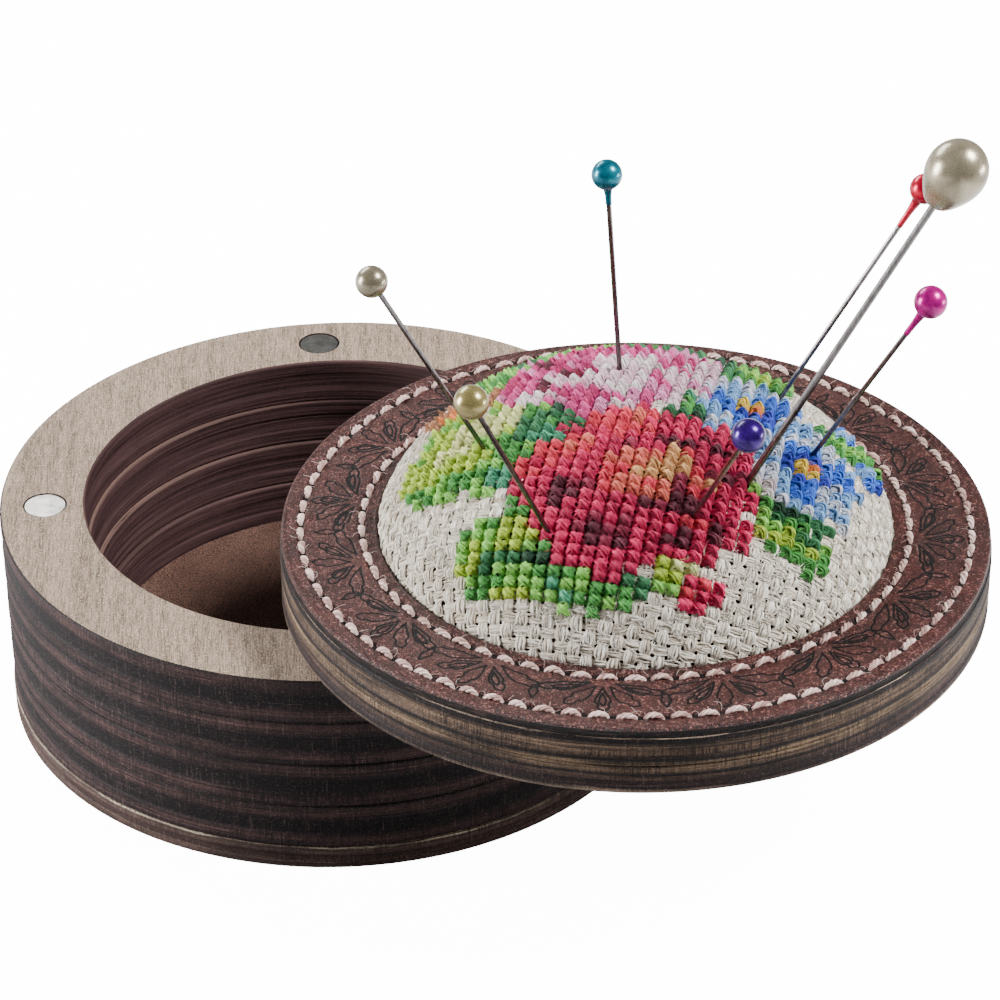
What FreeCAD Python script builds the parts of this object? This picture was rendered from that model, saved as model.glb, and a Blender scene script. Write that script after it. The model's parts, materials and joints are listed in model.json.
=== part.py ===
import FreeCAD, Part

import math
import os

from FreeCAD import Rotation, Vector

# A round needle box of stacked plywood rings. Its lid is a pin cushion with seven pins in it, and lies
# on the rim, swivelled open about one pair of magnets. Millimetres and degrees. The origin is the middle
# of the box's underside, with +Z up, and the lid is swivelled towards +X.

# Box
box_radius = 41.5
cavity_radius = 31.0
ring_thickness = 6.0
ring_count = 4
bottom_thickness = 3.0
bottom_overhang = 0.15      # the bottom disc stands this far out past the rings
bore_step = 0.2             # each lower ring's bore is this much smaller than the one above
bore_shift = 0.12           # and its centre lies this much further towards +X
edge_chamfer = 0.2
lining_thickness = 0.6
lining_clearance = 0.3

# Magnets, in pockets that are equal in the rim and in the lid's underside
magnet_radius = 2.5
magnet_height = 2.0
magnet_recess = 0.1
magnet_gap = 0.2
magnet_circle = 35.9
magnet_angle = 2.3
magnet_count = 4

# Lid
lid_gap = 0.1
lid_radius = 41.9
lid_sheet = 3.7
lid_opening = 30.6
opening_angle = 71.7        # how far the lid is swivelled from closed

# Leather ring and its stitching
leather_thickness = 1.25
leather_radius = 41.7
leather_opening = 30.3
leather_rounding = 0.3
thread_radius = 0.45
half_round_turn = -90.0      # brings a half cylinder's flat side down
stitch_rows = {
    # name: (radius of the row, stitches in it, length of one stitch)
    "outer_stitching": (39.4, 82, 2.1),
    "inner_stitching": (32.2, 68, 2.1),
}

# Cushion: a cloth cover drawn over stuffing and round a card board
cushion_radius = 30.0
cushion_height = 16.0       # of the dome above the leather
dome_side_power = 2.1       # the dome's outline is (r/radius)^side + (z/height)^crown = 1
dome_crown_power = 1.6
dome_spans = 8
cloth_thickness = 0.6
board_thickness = 1.2
hem_opening = 18.0          # the cloth is gathered in to this radius under the board

# Embroidery: raised patches on the dome, (x, y, half length, half width, turn) about the dome's axis
embroidery_thickness = 0.6
embroidery_patches = [
    (-1.5, -13.0, 13.5, 11.0, 0.0),     # large rose
    (-2.5, 7.0, 12.5, 9.5, 0.0),        # pale rose
    (-16.5, -2.5, 10.0, 8.5, -20.0),    # left leaf
    (-13.0, -19.5, 10.5, 5.5, -38.0),   # lower leaf
    (14.5, 1.0, 7.0, 7.0, 0.0),         # upper blue flower
    (18.5, -8.0, 6.5, 6.5, 0.0),        # lower blue flower
    (15.5, -16.0, 5.5, 5.0, 45.0),      # right leaf
    (3.5, -24.5, 3.5, 3.0, 0.0),        # bud
    (13.5, 9.0, 7.5, 4.5, 0.0),         # upper leaf
    (23.5, 0.0, 4.5, 4.0, 90.0),        # outer leaf
]

# Pins. Each lies along a straight line through its point of entry in the dome. The entry is given from
# the dome's axis, the lean from upright, and the bearing is where the head leans to, from +X.
pin_push_in = 2.0
channel_clearance = 0.05
channel_end_gap = 0.3
channel_share_out = 0.5     # the channel is cut this share of the way out to the head
point_length = 3.0
pins = {
    # name: (entry x, entry y, lean, bearing, entry to head centre, head centre to point,
    #        shank radius, head radius, neck length)
    "grey_pearl": (-17.7, -3.2, 28.0, -157.0, 29.0, 40.0, 0.3, 1.8, 0.0),
    "cream_pearl": (-11.4, -18.2, 29.8, -132.0, 27.0, 40.0, 0.3, 1.9, 0.0),
    "teal": (-1.2, 8.5, 10.6, -114.0, 29.0, 40.0, 0.3, 1.75, 2.5),
    "blue": (4.8, -18.1, 38.5, -76.0, 25.0, 40.0, 0.3, 1.85, 0.0),
    "red": (17.6, 6.4, 27.8, -14.5, 33.0, 40.0, 0.3, 1.75, 4.0),
    "magenta": (20.0, -4.8, 29.7, -42.0, 29.0, 40.0, 0.3, 1.85, 4.0),
    "teardrop": (11.5, -12.7, 26.6, -31.8, 50.0, 60.0, 0.4, 3.3, 0.0),
}
neck_top_radius = 0.8
neck_end_radius = 0.42
teardrop_above = 3.6        # the teardrop bead's end beyond its widest circle
teardrop_below = 5.0        # and its narrow end towards the shank
teardrop_mouth_radius = 1.1
teardrop_waist = (0.78, 0.62)       # shares of the radius, and of the way down, at a point of its outline
teardrop_shoulder = (0.72, 0.7)     # and of the radius, and of the way up, at another
shank_into_head = 1.0       # the shank stops this far past the head's centre

# Sizes that follow
box_height = bottom_thickness + ring_count * ring_thickness
lid_bottom = box_height + lid_gap
base_disc_top = lid_bottom + lid_sheet
upper_ring_top = base_disc_top + lid_sheet
leather_top = upper_ring_top + leather_thickness
board_top = base_disc_top + cloth_thickness + board_thickness


def around(radius, angle, z=0.0):
    """The point at this radius and angle about the Z axis."""
    turn = math.radians(angle)
    return Vector(radius * math.cos(turn), radius * math.sin(turn), z)


pivot = around(magnet_circle, magnet_angle - 90.0)
lid_centre = pivot + around(magnet_circle, magnet_angle + 90.0 - opening_angle)


def disc(radius, height, z, centre=Vector(0, 0, 0)):
    """An upright cylinder that stands at height z."""
    return Part.makeCylinder(radius, height, Vector(centre.x, centre.y, z))


def turned(points):
    """The solid of revolution about Z of a closed outline of (radius, z) points."""
    corners = [Vector(r, 0, z) for r, z in points + points[:1]]
    face = Part.Face(Part.makePolygon(corners))
    return face.revolve(Vector(0, 0, 0), Vector(0, 0, 1), 360)


def sheet(radius, thickness, z):
    """A disc of plywood with its two sharp edges eased."""
    c = edge_chamfer
    top = z + thickness
    return turned([(0, z), (radius - c, z), (radius, z + c), (radius, top - c), (radius - c, top), (0, top)])


def bore(radius, thickness, z):
    """The hole through a sheet, wider at both mouths by the eased edge."""
    c = edge_chamfer
    top = z + thickness
    return turned([(0, z), (radius + c, z), (radius, z + c), (radius, top - c), (radius + c, top), (0, top)])


def magnet_spots(centre, turn):
    """The magnets' places about a centre, a quarter turn apart."""
    step = 360.0 / magnet_count
    return [centre + around(magnet_circle, turn + i * step) for i in range(magnet_count)]


box_spots = magnet_spots(Vector(0, 0, 0), magnet_angle)
lid_spots = magnet_spots(lid_centre, magnet_angle - opening_angle)


def box_rings():
    """The stacked rings from the bottom up. The top one holds the magnets' pockets."""
    rings = {}
    for i in range(ring_count):
        z = bottom_thickness + i * ring_thickness
        below_top = ring_count - 1 - i
        ring = sheet(box_radius, ring_thickness, z)
        hole = bore(cavity_radius - below_top * bore_step, ring_thickness, z)
        hole.translate(Vector(below_top * bore_shift, 0, 0))
        ring = ring.cut(hole)
        if below_top == 0:
            depth = magnet_height + magnet_recess
            for spot in box_spots:
                ring = ring.cut(disc(magnet_radius + magnet_gap, depth, box_height - depth, spot))
        rings["box_ring_%d" % (i + 1)] = ring
    return rings


def magnets(spots, z):
    """Four disc magnets that stand at height z, as one group of solids."""
    return Part.makeCompound([disc(magnet_radius, magnet_height, z, spot) for spot in spots])


def lid_base():
    """The lid's lower sheet, with the magnets' pockets in its underside."""
    base = sheet(lid_radius, lid_sheet, lid_bottom).translated(lid_centre)
    depth = magnet_height + magnet_recess
    for spot in lid_spots:
        base = base.cut(disc(magnet_radius + magnet_gap, depth, lid_bottom, spot))
    return base


def lid_ring():
    """The lid's upper sheet, a ring round the cushion."""
    ring = sheet(lid_radius, lid_sheet, base_disc_top).cut(bore(lid_opening, lid_sheet, base_disc_top))
    return ring.translated(lid_centre)


def leather_ring():
    """The leather ring on top of the lid, with its two upper edges rounded."""
    ring = disc(leather_radius, leather_thickness, upper_ring_top)
    ring = ring.cut(disc(leather_opening, leather_thickness, upper_ring_top))
    upper = [e for e in ring.Edges if e.Closed and abs(e.BoundBox.ZMin - leather_top) < 1e-6]
    return ring.makeFillet(leather_rounding, upper).translated(lid_centre)


def stitching(radius, count, length):
    """A row of thread lengths lying on the leather, each a half round bar along the row."""
    bar = Part.makeCylinder(thread_radius, length, Vector(0, -length / 2, 0), Vector(0, 1, 0), 180)
    bar.rotate(Vector(0, 0, 0), Vector(0, 1, 0), half_round_turn)
    row = []
    for i in range(count):
        angle = 360.0 * i / count
        stitch = bar.copy()
        stitch.rotate(Vector(0, 0, 0), Vector(0, 0, 1), angle)
        row.append(stitch.translated(lid_centre + around(radius, angle, leather_top)))
    return Part.makeCompound(row)


def dome_height(radius_from_axis):
    """The dome's height above the leather at a distance from its axis."""
    share = min(1.0, radius_from_axis / cushion_radius)
    return cushion_height * (1.0 - share ** dome_side_power) ** (1.0 / dome_crown_power)


def domed(foot, grow):
    """A solid from height foot up to the dome, with the dome and its sides grown outward."""
    radius = cushion_radius + grow
    height = cushion_height + grow
    points = []
    for i in range(dome_spans + 1):
        t = math.radians(90.0 * i / dome_spans)
        r = radius * math.cos(t) ** (2.0 / dome_side_power) if i < dome_spans else 0.0
        z = leather_top + height * math.sin(t) ** (2.0 / dome_crown_power)
        points.append(Vector(r, 0, z))
    curve = Part.BSplineCurve()
    curve.interpolate(Points=points, InitialTangent=Vector(0, 0, 1), FinalTangent=Vector(-1, 0, 0))
    low_axis = Vector(0, 0, foot)
    low_rim = Vector(radius, 0, foot)
    edges = [
        Part.makeLine(low_axis, low_rim),
        Part.makeLine(low_rim, points[0]),
        curve.toShape(),
        Part.makeLine(points[-1], low_axis),
    ]
    face = Part.Face(Part.Wire(edges))
    return face.revolve(Vector(0, 0, 0), Vector(0, 0, 1), 360)


def cushion_cover():
    """The cloth over the dome, down its sides and drawn in under the board."""
    cover = domed(base_disc_top, 0.0).cut(domed(base_disc_top + cloth_thickness, -cloth_thickness))
    return cover.cut(disc(hem_opening, cloth_thickness, base_disc_top)).translated(lid_centre)


def cushion_board():
    """The card disc inside the cover, under the stuffing."""
    board = disc(cushion_radius - cloth_thickness, board_thickness, base_disc_top + cloth_thickness)
    return board.translated(lid_centre)


def cushion_filling():
    """The stuffing, which fills the cover above the board."""
    return domed(board_top, -cloth_thickness).translated(lid_centre)


def embroidery():
    """The stitched flowers, as one raised layer in the shape of overlapping oval patches."""
    layer = domed(base_disc_top, embroidery_thickness).cut(domed(base_disc_top, 0.0))
    ovals = []
    for x, y, half_length, half_width, turn in embroidery_patches:
        ellipse = Part.Ellipse(Vector(0, 0, 0), half_length, half_width)
        oval = Part.Face(Part.Wire(ellipse.toShape())).extrude(Vector(0, 0, 2 * cushion_height))
        oval.rotate(Vector(0, 0, 0), Vector(0, 0, 1), turn)
        ovals.append(oval.translated(Vector(x, y, leather_top)))
    return layer.common(ovals[0].multiFuse(ovals[1:])).translated(lid_centre)


def placed_on_pin(shape, entry, direction, along):
    """Moves a shape made upright at the origin to a distance along a pin's line from its entry."""
    shape.Placement = FreeCAD.Placement(entry + direction * along, Rotation(Vector(0, 0, 1), direction))
    return shape


def bead(head_radius, neck_length, teardrop):
    """A pin's head about its own centre, with the shank's side downward."""
    if teardrop:
        lower = Vector(teardrop_mouth_radius, 0, -teardrop_below)
        side = Vector(head_radius, 0, 0)
        crown = Vector(0, 0, teardrop_above)
        curve = Part.BSplineCurve()
        waist = Vector(teardrop_waist[0] * head_radius, 0, -teardrop_waist[1] * teardrop_below)
        shoulder = Vector(teardrop_shoulder[0] * head_radius, 0, teardrop_shoulder[1] * teardrop_above)
        curve.interpolate(Points=[lower, waist, side, shoulder, crown], FinalTangent=Vector(-1, 0, 0))
        foot = Vector(0, 0, -teardrop_below)
        edges = [Part.makeLine(foot, lower), curve.toShape(), Part.makeLine(crown, foot)]
        return Part.Face(Part.Wire(edges)).revolve(Vector(0, 0, 0), Vector(0, 0, 1), 360)
    ball = Part.makeSphere(head_radius)
    if neck_length == 0:
        return ball
    neck_start = math.sqrt(head_radius ** 2 - neck_top_radius ** 2)
    neck = Part.makeCone(neck_end_radius, neck_top_radius, neck_length)
    return ball.fuse(neck.translated(Vector(0, 0, -neck_start - neck_length)))


def make_pin(name):
    """A pin's shank and head, and the channel that it runs in."""
    x, y, lean, bearing, out, length, shank_radius, head_radius, neck_length = pins[name]
    tilt = math.radians(lean)
    direction = around(math.sin(tilt), bearing, math.cos(tilt))
    entry = lid_centre + Vector(x, y, leather_top + dome_height(math.hypot(x, y)))
    inside = length - out

    straight = Part.makeCylinder(shank_radius, length - point_length + shank_into_head)
    point = Part.makeCone(0.0, shank_radius, point_length).translated(Vector(0, 0, -point_length))
    shank = placed_on_pin(straight.fuse(point), entry, direction, point_length - inside)

    head = placed_on_pin(bead(head_radius, neck_length, name == "teardrop"), entry, direction, out)
    head = head.cut(shank)

    reach = inside + pin_push_in + channel_end_gap
    channel = Part.makeCylinder(shank_radius + channel_clearance, reach + out * channel_share_out)
    channel = placed_on_pin(channel, entry, direction, -reach)
    return shank, head, channel


def make_parts():
    """Every node's shape by name."""
    parts = {"bottom_disc": sheet(box_radius + bottom_overhang, bottom_thickness, 0.0)}
    lowest_bore = cavity_radius - (ring_count - 1) * bore_step
    lining = disc(lowest_bore - lining_clearance, lining_thickness, bottom_thickness)
    parts["floor_lining"] = lining.translated(Vector((ring_count - 1) * bore_shift, 0, 0))
    parts.update(box_rings())
    parts["box_magnets"] = magnets(box_spots, box_height - magnet_recess - magnet_height)
    parts["lid_base_disc"] = lid_base()
    parts["lid_magnets"] = magnets(lid_spots, lid_bottom + magnet_recess)
    parts["lid_upper_ring"] = lid_ring()
    parts["leather_ring"] = leather_ring()
    for name, (radius, count, length) in stitch_rows.items():
        parts[name] = stitching(radius, count, length)
    parts["cushion_board"] = cushion_board()

    soft = {
        "cushion_filling": cushion_filling(),
        "cushion_cover": cushion_cover(),
        "embroidery": embroidery(),
    }
    for name in pins:
        shank, head, channel = make_pin(name)
        parts[name + "_shank"] = shank
        parts[name + "_head"] = head
        for node in soft:
            soft[node] = soft[node].cut(channel)
    parts.update(soft)
    return parts


os.makedirs("parts", exist_ok=True)
for node, shape in make_parts().items():
    shape.exportStep("parts/%s.step" % node)
    print("%-20s %3d solid(s) %10.2f mm3 valid %s" % (node, len(shape.Solids), shape.Volume, shape.isValid()))
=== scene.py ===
import json
import math

import bpy
import numpy as np
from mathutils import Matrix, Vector
from mathutils.bvhtree import BVHTree


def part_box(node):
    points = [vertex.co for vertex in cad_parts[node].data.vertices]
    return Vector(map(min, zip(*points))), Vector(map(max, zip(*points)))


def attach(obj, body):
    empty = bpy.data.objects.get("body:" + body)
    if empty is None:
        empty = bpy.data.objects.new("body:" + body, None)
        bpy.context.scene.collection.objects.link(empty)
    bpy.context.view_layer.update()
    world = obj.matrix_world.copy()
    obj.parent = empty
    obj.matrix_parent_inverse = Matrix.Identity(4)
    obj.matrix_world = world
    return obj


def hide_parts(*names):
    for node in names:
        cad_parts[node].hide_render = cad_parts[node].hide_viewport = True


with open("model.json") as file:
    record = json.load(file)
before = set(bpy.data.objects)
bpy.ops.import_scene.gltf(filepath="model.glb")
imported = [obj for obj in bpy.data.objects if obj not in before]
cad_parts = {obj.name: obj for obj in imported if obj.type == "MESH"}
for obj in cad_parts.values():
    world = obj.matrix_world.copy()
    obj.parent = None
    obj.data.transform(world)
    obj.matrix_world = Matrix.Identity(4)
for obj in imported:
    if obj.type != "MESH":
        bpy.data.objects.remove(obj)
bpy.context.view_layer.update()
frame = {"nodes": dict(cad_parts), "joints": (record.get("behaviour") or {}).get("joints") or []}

# The looks of a round needle box with a pin cushion lid. Lengths here are millimetres, and become metres
# in make_piece(). Angles are radians unless a name says degrees.
MM = 0.001
TURN = 2 * math.pi
draw = np.random.default_rng(20)


def node_box(name):
    """A CAD node's lowest and highest corners, in millimetres."""
    low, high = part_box(name)
    return np.array(low) / MM, np.array(high) / MM


def node_points(name):
    """A CAD node's vertices, in millimetres."""
    return np.array([v.co for v in frame["nodes"][name].data.vertices]) / MM


def add_object(name, data):
    """A new object in the scene."""
    made = bpy.data.objects.new(name, data)
    bpy.context.scene.collection.objects.link(made)
    return made


# Places and sizes from the frame
leather_low, leather_high = node_box("leather_ring")
cushion_low, cushion_high = node_box("cushion_cover")
LID_X, LID_Y = (leather_low[:2] + leather_high[:2]) / 2
LID = (LID_X, LID_Y)
LEATHER_TOP = leather_high[2]
DOME_RADIUS = (cushion_high[0] - cushion_low[0]) / 2
DOME_HEIGHT = cushion_high[2] - LEATHER_TOP

# The box's and lid's sheets of plywood
BOX_RADIUS, BOX_BORE, BOX_SHEET, BOX_SHEETS = 41.5, 31.0, 6.0, 4
BORE_STEP, BORE_SHIFT = 0.2, 0.12     # each lower ring's bore is smaller, and moved this far towards +X
BOTTOM_RADIUS, BOTTOM_SHEET = 41.65, 3.0
BOX_TOP = BOTTOM_SHEET + BOX_SHEETS * BOX_SHEET
LID_RADIUS, LID_BORE, LID_SHEET = 41.9, 30.6, 3.7
POCKET_RADIUS, POCKET_DEPTH, POCKET_SIDES, CUTTER_HEIGHT = 2.7, 2.1, 64, 3.0


# ---------------------------------------------------------------- meshes

def make_piece(name, points, faces, body, material, values=None, smooth=True, where=(0, 0)):
    """A mesh piece from points in millimetres and a list of face arrays. It rides on a body."""
    points = np.asarray(points, float).reshape(-1, 3) + (where[0], where[1], 0)
    mesh = bpy.data.meshes.new(name)
    used = np.zeros(len(points), bool)
    for block in faces:
        used[block.ravel()] = True
    renumber = np.cumsum(used) - 1
    corners = np.concatenate([renumber[block].ravel() for block in faces])
    sizes = np.concatenate([np.full(len(block), block.shape[1]) for block in faces])
    mesh.vertices.add(int(used.sum()))
    mesh.vertices.foreach_set("co", (points[used] * MM).astype(np.float32).ravel())
    mesh.loops.add(len(corners))
    mesh.loops.foreach_set("vertex_index", corners.astype(np.int32))
    mesh.polygons.add(len(sizes))
    mesh.polygons.foreach_set("loop_start", np.concatenate([[0], np.cumsum(sizes)[:-1]]).astype(np.int32))
    mesh.polygons.foreach_set("use_smooth", np.full(len(sizes), smooth))
    for key, value in (values or {}).items():
        value = np.asarray(value, np.float32).reshape(len(points), -1)[used]
        if value.shape[1] == 3:
            mesh.attributes.new(key, "FLOAT_VECTOR", "POINT").data.foreach_set("vector", value.ravel())
        else:
            mesh.attributes.new(key, "FLOAT", "POINT").data.foreach_set("value", value.ravel())
    mesh.update(calc_edges=True)
    mesh.materials.append(material)
    piece = add_object(name, mesh)
    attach(piece, body)
    return piece


def unit(vectors):
    return vectors / np.maximum(np.linalg.norm(vectors, axis=-1, keepdims=True), 1e-12)


def tubes(paths, ups, wide, high, sides=6, keep=None, caps=True):
    """Tubes along many paths at once: points, faces, and how far along and round each point is.
    paths and ups are (count, steps, 3), and the two radii are numbers or (count, steps)."""
    count, steps = paths.shape[:2]
    along = unit(np.gradient(paths, axis=1))
    side = unit(np.cross(along, ups))
    up = np.cross(side, along)
    angle = TURN * np.arange(sides) / sides
    wide = np.broadcast_to(wide, (count, steps))[..., None, None]
    high = np.broadcast_to(high, (count, steps))[..., None, None]
    ring = side[:, :, None] * np.cos(angle)[:, None] * wide + up[:, :, None] * np.sin(angle)[:, None] * high
    points = paths[:, :, None] + ring
    step = np.linalg.norm(np.diff(paths, axis=1), axis=-1)
    distance = np.concatenate([np.zeros((count, 1)), np.cumsum(step, axis=1)], axis=1)
    strand = np.stack(np.broadcast_arrays(
        distance[..., None], np.cos(angle), np.sin(angle) + 7.3 * np.arange(count)[:, None, None]), -1)
    first = (np.arange(count)[:, None, None] * steps + np.arange(steps - 1)[None, :, None]) * sides
    here, there = first + np.arange(sides), first + (np.arange(sides) + 1) % sides
    quads = np.stack([here, here + sides, there + sides, there], -1)
    if keep is not None:
        quads = quads[keep[:, :-1] & keep[:, 1:]]
    faces = [quads.reshape(-1, 4)]
    if caps:
        start = np.arange(count)[:, None] * steps * sides + np.arange(sides)
        faces += [start, (start + (steps - 1) * sides)[:, ::-1]]
    return points.reshape(-1, 3), faces, strand.reshape(-1, 3)


def lathe(profile, around, relief=None):
    """A closed solid of revolution about Z from a closed outline of (radius, z) rows, counterclockwise
    seen with the radius to the right. relief(angle, radius, z) gives a new radius and z."""
    profile = np.asarray(profile, float)
    angle = TURN * np.arange(around) / around
    radius, z = [np.broadcast_to(part, (around, len(profile))) for part in profile.T]
    if relief:
        radius, z = relief(angle[:, None], radius, z)
    points = np.stack([radius * np.cos(angle)[:, None], radius * np.sin(angle)[:, None], z], -1)
    count = len(profile)
    here = np.arange(around)[:, None] * count + np.arange(count)
    ahead = np.roll(here, -1, axis=0)
    quads = np.stack([here, ahead, np.roll(ahead, -1, axis=1), np.roll(here, -1, axis=1)], -1)
    return points.reshape(-1, 3), [quads.reshape(-1, 4)]


def axle(profile, around, centre, direction):
    """A solid of revolution about a pin's line, from (radius, distance) rows whose ends are on the line."""
    profile = np.asarray(profile, float)
    angle = TURN * np.arange(around) / around
    side = unit(np.cross(direction, (0.0, 1.0, 0.0)))
    up = np.cross(direction, side)
    spoke = side * np.cos(angle)[:, None] + up * np.sin(angle)[:, None]
    inner = profile[1:-1]
    points = centre + inner[:, 0][:, None, None] * spoke + inner[:, 1][:, None, None] * direction
    tips = [centre + profile[0, 1] * direction, centre + profile[-1, 1] * direction]
    points = np.concatenate([points.reshape(-1, 3), tips])
    rows = len(inner)
    here = np.arange(rows - 1)[:, None] * around + np.arange(around)
    ring = np.arange(around)
    there = np.arange(rows - 1)[:, None] * around + (ring + 1) % around
    quads = np.stack([here, there, there + around, here + around], -1).reshape(-1, 4)
    low, high = rows * around, rows * around + 1
    last = (rows - 1) * around
    ends = [
        np.stack([np.full(around, low), (ring + 1) % around, ring], -1),
        np.stack([np.full(around, high), last + ring, last + (ring + 1) % around], -1),
    ]
    return points, [quads] + ends


# ---------------------------------------------------------------- materials

def linear(red, green, blue):
    """A colour given in 0 to 255 display steps, as Blender's linear colour."""
    part = [c / 255 for c in (red, green, blue)]
    return tuple(c / 12.92 if c < 0.04045 else ((c + 0.055) / 1.055) ** 2.4 for c in part) + (1.0,)


class Shader:
    """A material's node tree, with short calls for the nodes used here. Noise sizes are millimetres."""

    def __init__(self, name, **sockets):
        self.material = bpy.data.materials.new(name)
        self.material.use_nodes = True
        self.tree = self.material.node_tree
        self.surface = self.tree.nodes["Principled BSDF"]
        for socket, value in sockets.items():
            self.surface.inputs[socket.replace("_", " ")].default_value = value

    def node(self, kind, inputs, output=0, **settings):
        made = self.tree.nodes.new("ShaderNode" + kind)
        for key, value in settings.items():
            setattr(made, key, value)
        for key, value in inputs.items():
            if isinstance(value, bpy.types.NodeSocket):
                self.tree.links.new(value, made.inputs[key])
            else:
                made.inputs[key].default_value = value
        return made.outputs[output]

    def place(self, stretch=(1, 1, 1)):
        """The point on the piece in millimetres, with each axis multiplied."""
        where = self.node("TexCoord", {}, "Object")
        return self.node("VectorMath", {0: where, 1: [s / MM for s in stretch]}, operation="MULTIPLY")

    def value(self, name, output="Fac"):
        return self.node("Attribute", {}, output, attribute_name=name)

    def scaled(self, vector, stretch):
        return self.node("VectorMath", {0: vector, 1: stretch}, operation="MULTIPLY")

    def noise(self, where, detail=3.0, rough=0.55, warp=0.0):
        """Noise at a point, or over the piece from its scale per millimetre, which may differ by axis."""
        if isinstance(where, (int, float)):
            where = (where, where, where)
        if isinstance(where, tuple):
            where = self.place(where)
        return self.node("TexNoise", {
            "Vector": where, "Scale": 1.0, "Detail": detail, "Roughness": rough, "Distortion": warp})

    def part(self, vector, axis):
        """One part of a vector, where axis is 0, 1 or 2."""
        return self.node("SeparateXYZ", {0: vector}, axis)

    def ramp(self, value, *stops):
        """A ramp of (place, grey) or (place, colour) stops."""
        made = self.tree.nodes.new("ShaderNodeValToRGB")
        while len(made.color_ramp.elements) < len(stops):
            made.color_ramp.elements.new(0.5)
        for element, (place, colour) in zip(made.color_ramp.elements, stops):
            element.position = place
            element.color = colour if isinstance(colour, tuple) else (colour, colour, colour, 1)
        self.tree.links.new(value, made.inputs[0])
        return made.outputs[0]

    def math(self, operation, *values):
        return self.node("Math", dict(enumerate(values)), operation=operation)

    def mix(self, share, first, second):
        """The first colour, and as much of the second as the share says."""
        return self.node("Mix", {0: share, 6: first, 7: second}, 2, data_type="RGBA")

    def bump(self, height, depth, below=None):
        """Relief whose height of 1 stands depth millimetres."""
        inputs = {"Height": height, "Strength": 1.0, "Distance": depth * MM}
        if below is not None:
            inputs["Normal"] = below
        return self.node("Bump", inputs)

    def wear(self, **sockets):
        for socket, value in sockets.items():
            self.tree.links.new(value, self.surface.inputs[socket.replace("_", " ")])
        return self.material


def plywood_face(s, light, dark, fine, speckle):
    """A stained face's colour: a fine grain along Y, with pores and pale specks."""
    broad = s.noise((0.8, 0.03, 0.3), 3, 0.6, 0.3)
    pores = s.noise((8, 0.9, 1), 2, 0.6)
    grain = s.math("ADD", s.math("MULTIPLY", fine, 0.7), s.math("MULTIPLY", broad, 0.3))
    face = s.ramp(grain, (0.40, dark), (0.58, light))
    face = s.mix(s.ramp(pores, (0.34, 0.85), (0.46, 0.0)), face, linear(80, 64, 52))
    return s.mix(s.ramp(speckle, (0.54, 0.0), (0.66, 0.6)), face, linear(206, 190, 170))


def plywood_edge(s, edge, soot, lines, hairs, speckle):
    """A burnt edge's colour: lines along it, hairs down it, and specks, over its plies' own colours."""
    patches = s.noise((0.10, 0.10, 0.35), 3, 0.6)
    clouds = s.noise((0.06, 0.06, 0.2), 3, 0.6)
    edge = s.mix(s.ramp(lines, (0.40, 0.85), (0.56, 0.0)), edge, soot)
    edge = s.mix(s.ramp(lines, (0.60, 0.0), (0.74, 0.5)), edge, linear(138, 114, 108))
    scored = s.ramp(hairs, (0.42, 0.95), (0.54, 0.0))
    scored = s.math("MULTIPLY", scored, s.ramp(patches, (0.42, 0.15), (0.62, 0.9)))
    edge = s.mix(scored, edge, soot)
    edge = s.mix(s.ramp(hairs, (0.58, 0.0), (0.70, 0.3)), edge, linear(120, 100, 96))
    edge = s.mix(s.ramp(clouds, (0.34, 0.6), (0.50, 0.0)), edge, soot)
    edge = s.mix(s.ramp(speckle, (0.40, 0.5), (0.52, 0.0)), edge, soot)
    return s.mix(s.ramp(speckle, (0.57, 0.0), (0.72, 0.2)), edge, linear(150, 130, 126))


def plywood_cavity(s, face, edge, height, share, lines, radius):
    """The face's and edge's colours within a radius of the Z axis, for a cavity whose walls are charred and
    darkened with painted shade. Painted light makes it less dim towards -X and its rim, where light falls in."""
    away = s.node("VectorMath", {0: s.scaled(s.place(), (1, 1, 0))}, "Value", operation="LENGTH")
    inside = s.math("LESS_THAN", away, radius)
    below = s.math("MULTIPLY", inside, s.math("LESS_THAN", height, BOX_TOP - 0.5))
    # The cavity's walls: real char, darkened further as painted shade.
    charred_and_shaded = s.mix(s.ramp(lines, (0.36, 0.0), (0.66, 1.0)), linear(34, 20, 21), linear(84, 60, 60))
    edge = s.mix(s.math("MULTIPLY", inside, 0.86), edge, charred_and_shaded)
    across = s.part(s.place((0.02, 1, 1)), 0)
    # Painted light: brighter towards -X and up towards the rim.
    lit = s.ramp(s.math("ADD", across, 0.5), (0.0, 0.85), (0.3, 0.4), (0.55, 0.02))
    lit = s.math("MULTIPLY", lit, s.ramp(s.math("DIVIDE", height, BOX_TOP), (0.36, 0.25), (0.54, 1.0)))
    # Painted highlights on the ledges' rims, where the painted light falls.
    rim = s.math("MULTIPLY", s.ramp(share, (0.92, 0.0), (0.97, 0.6)), below)
    edge = s.mix(s.math("MULTIPLY", rim, lit), edge, linear(108, 84, 76))
    # Below the top, the ledges' tops are painted dark as painted shade, and paler where the painted light
    # falls.
    return s.mix(below, face, s.mix(lit, linear(40, 26, 25), linear(120, 95, 84))), edge


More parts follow.
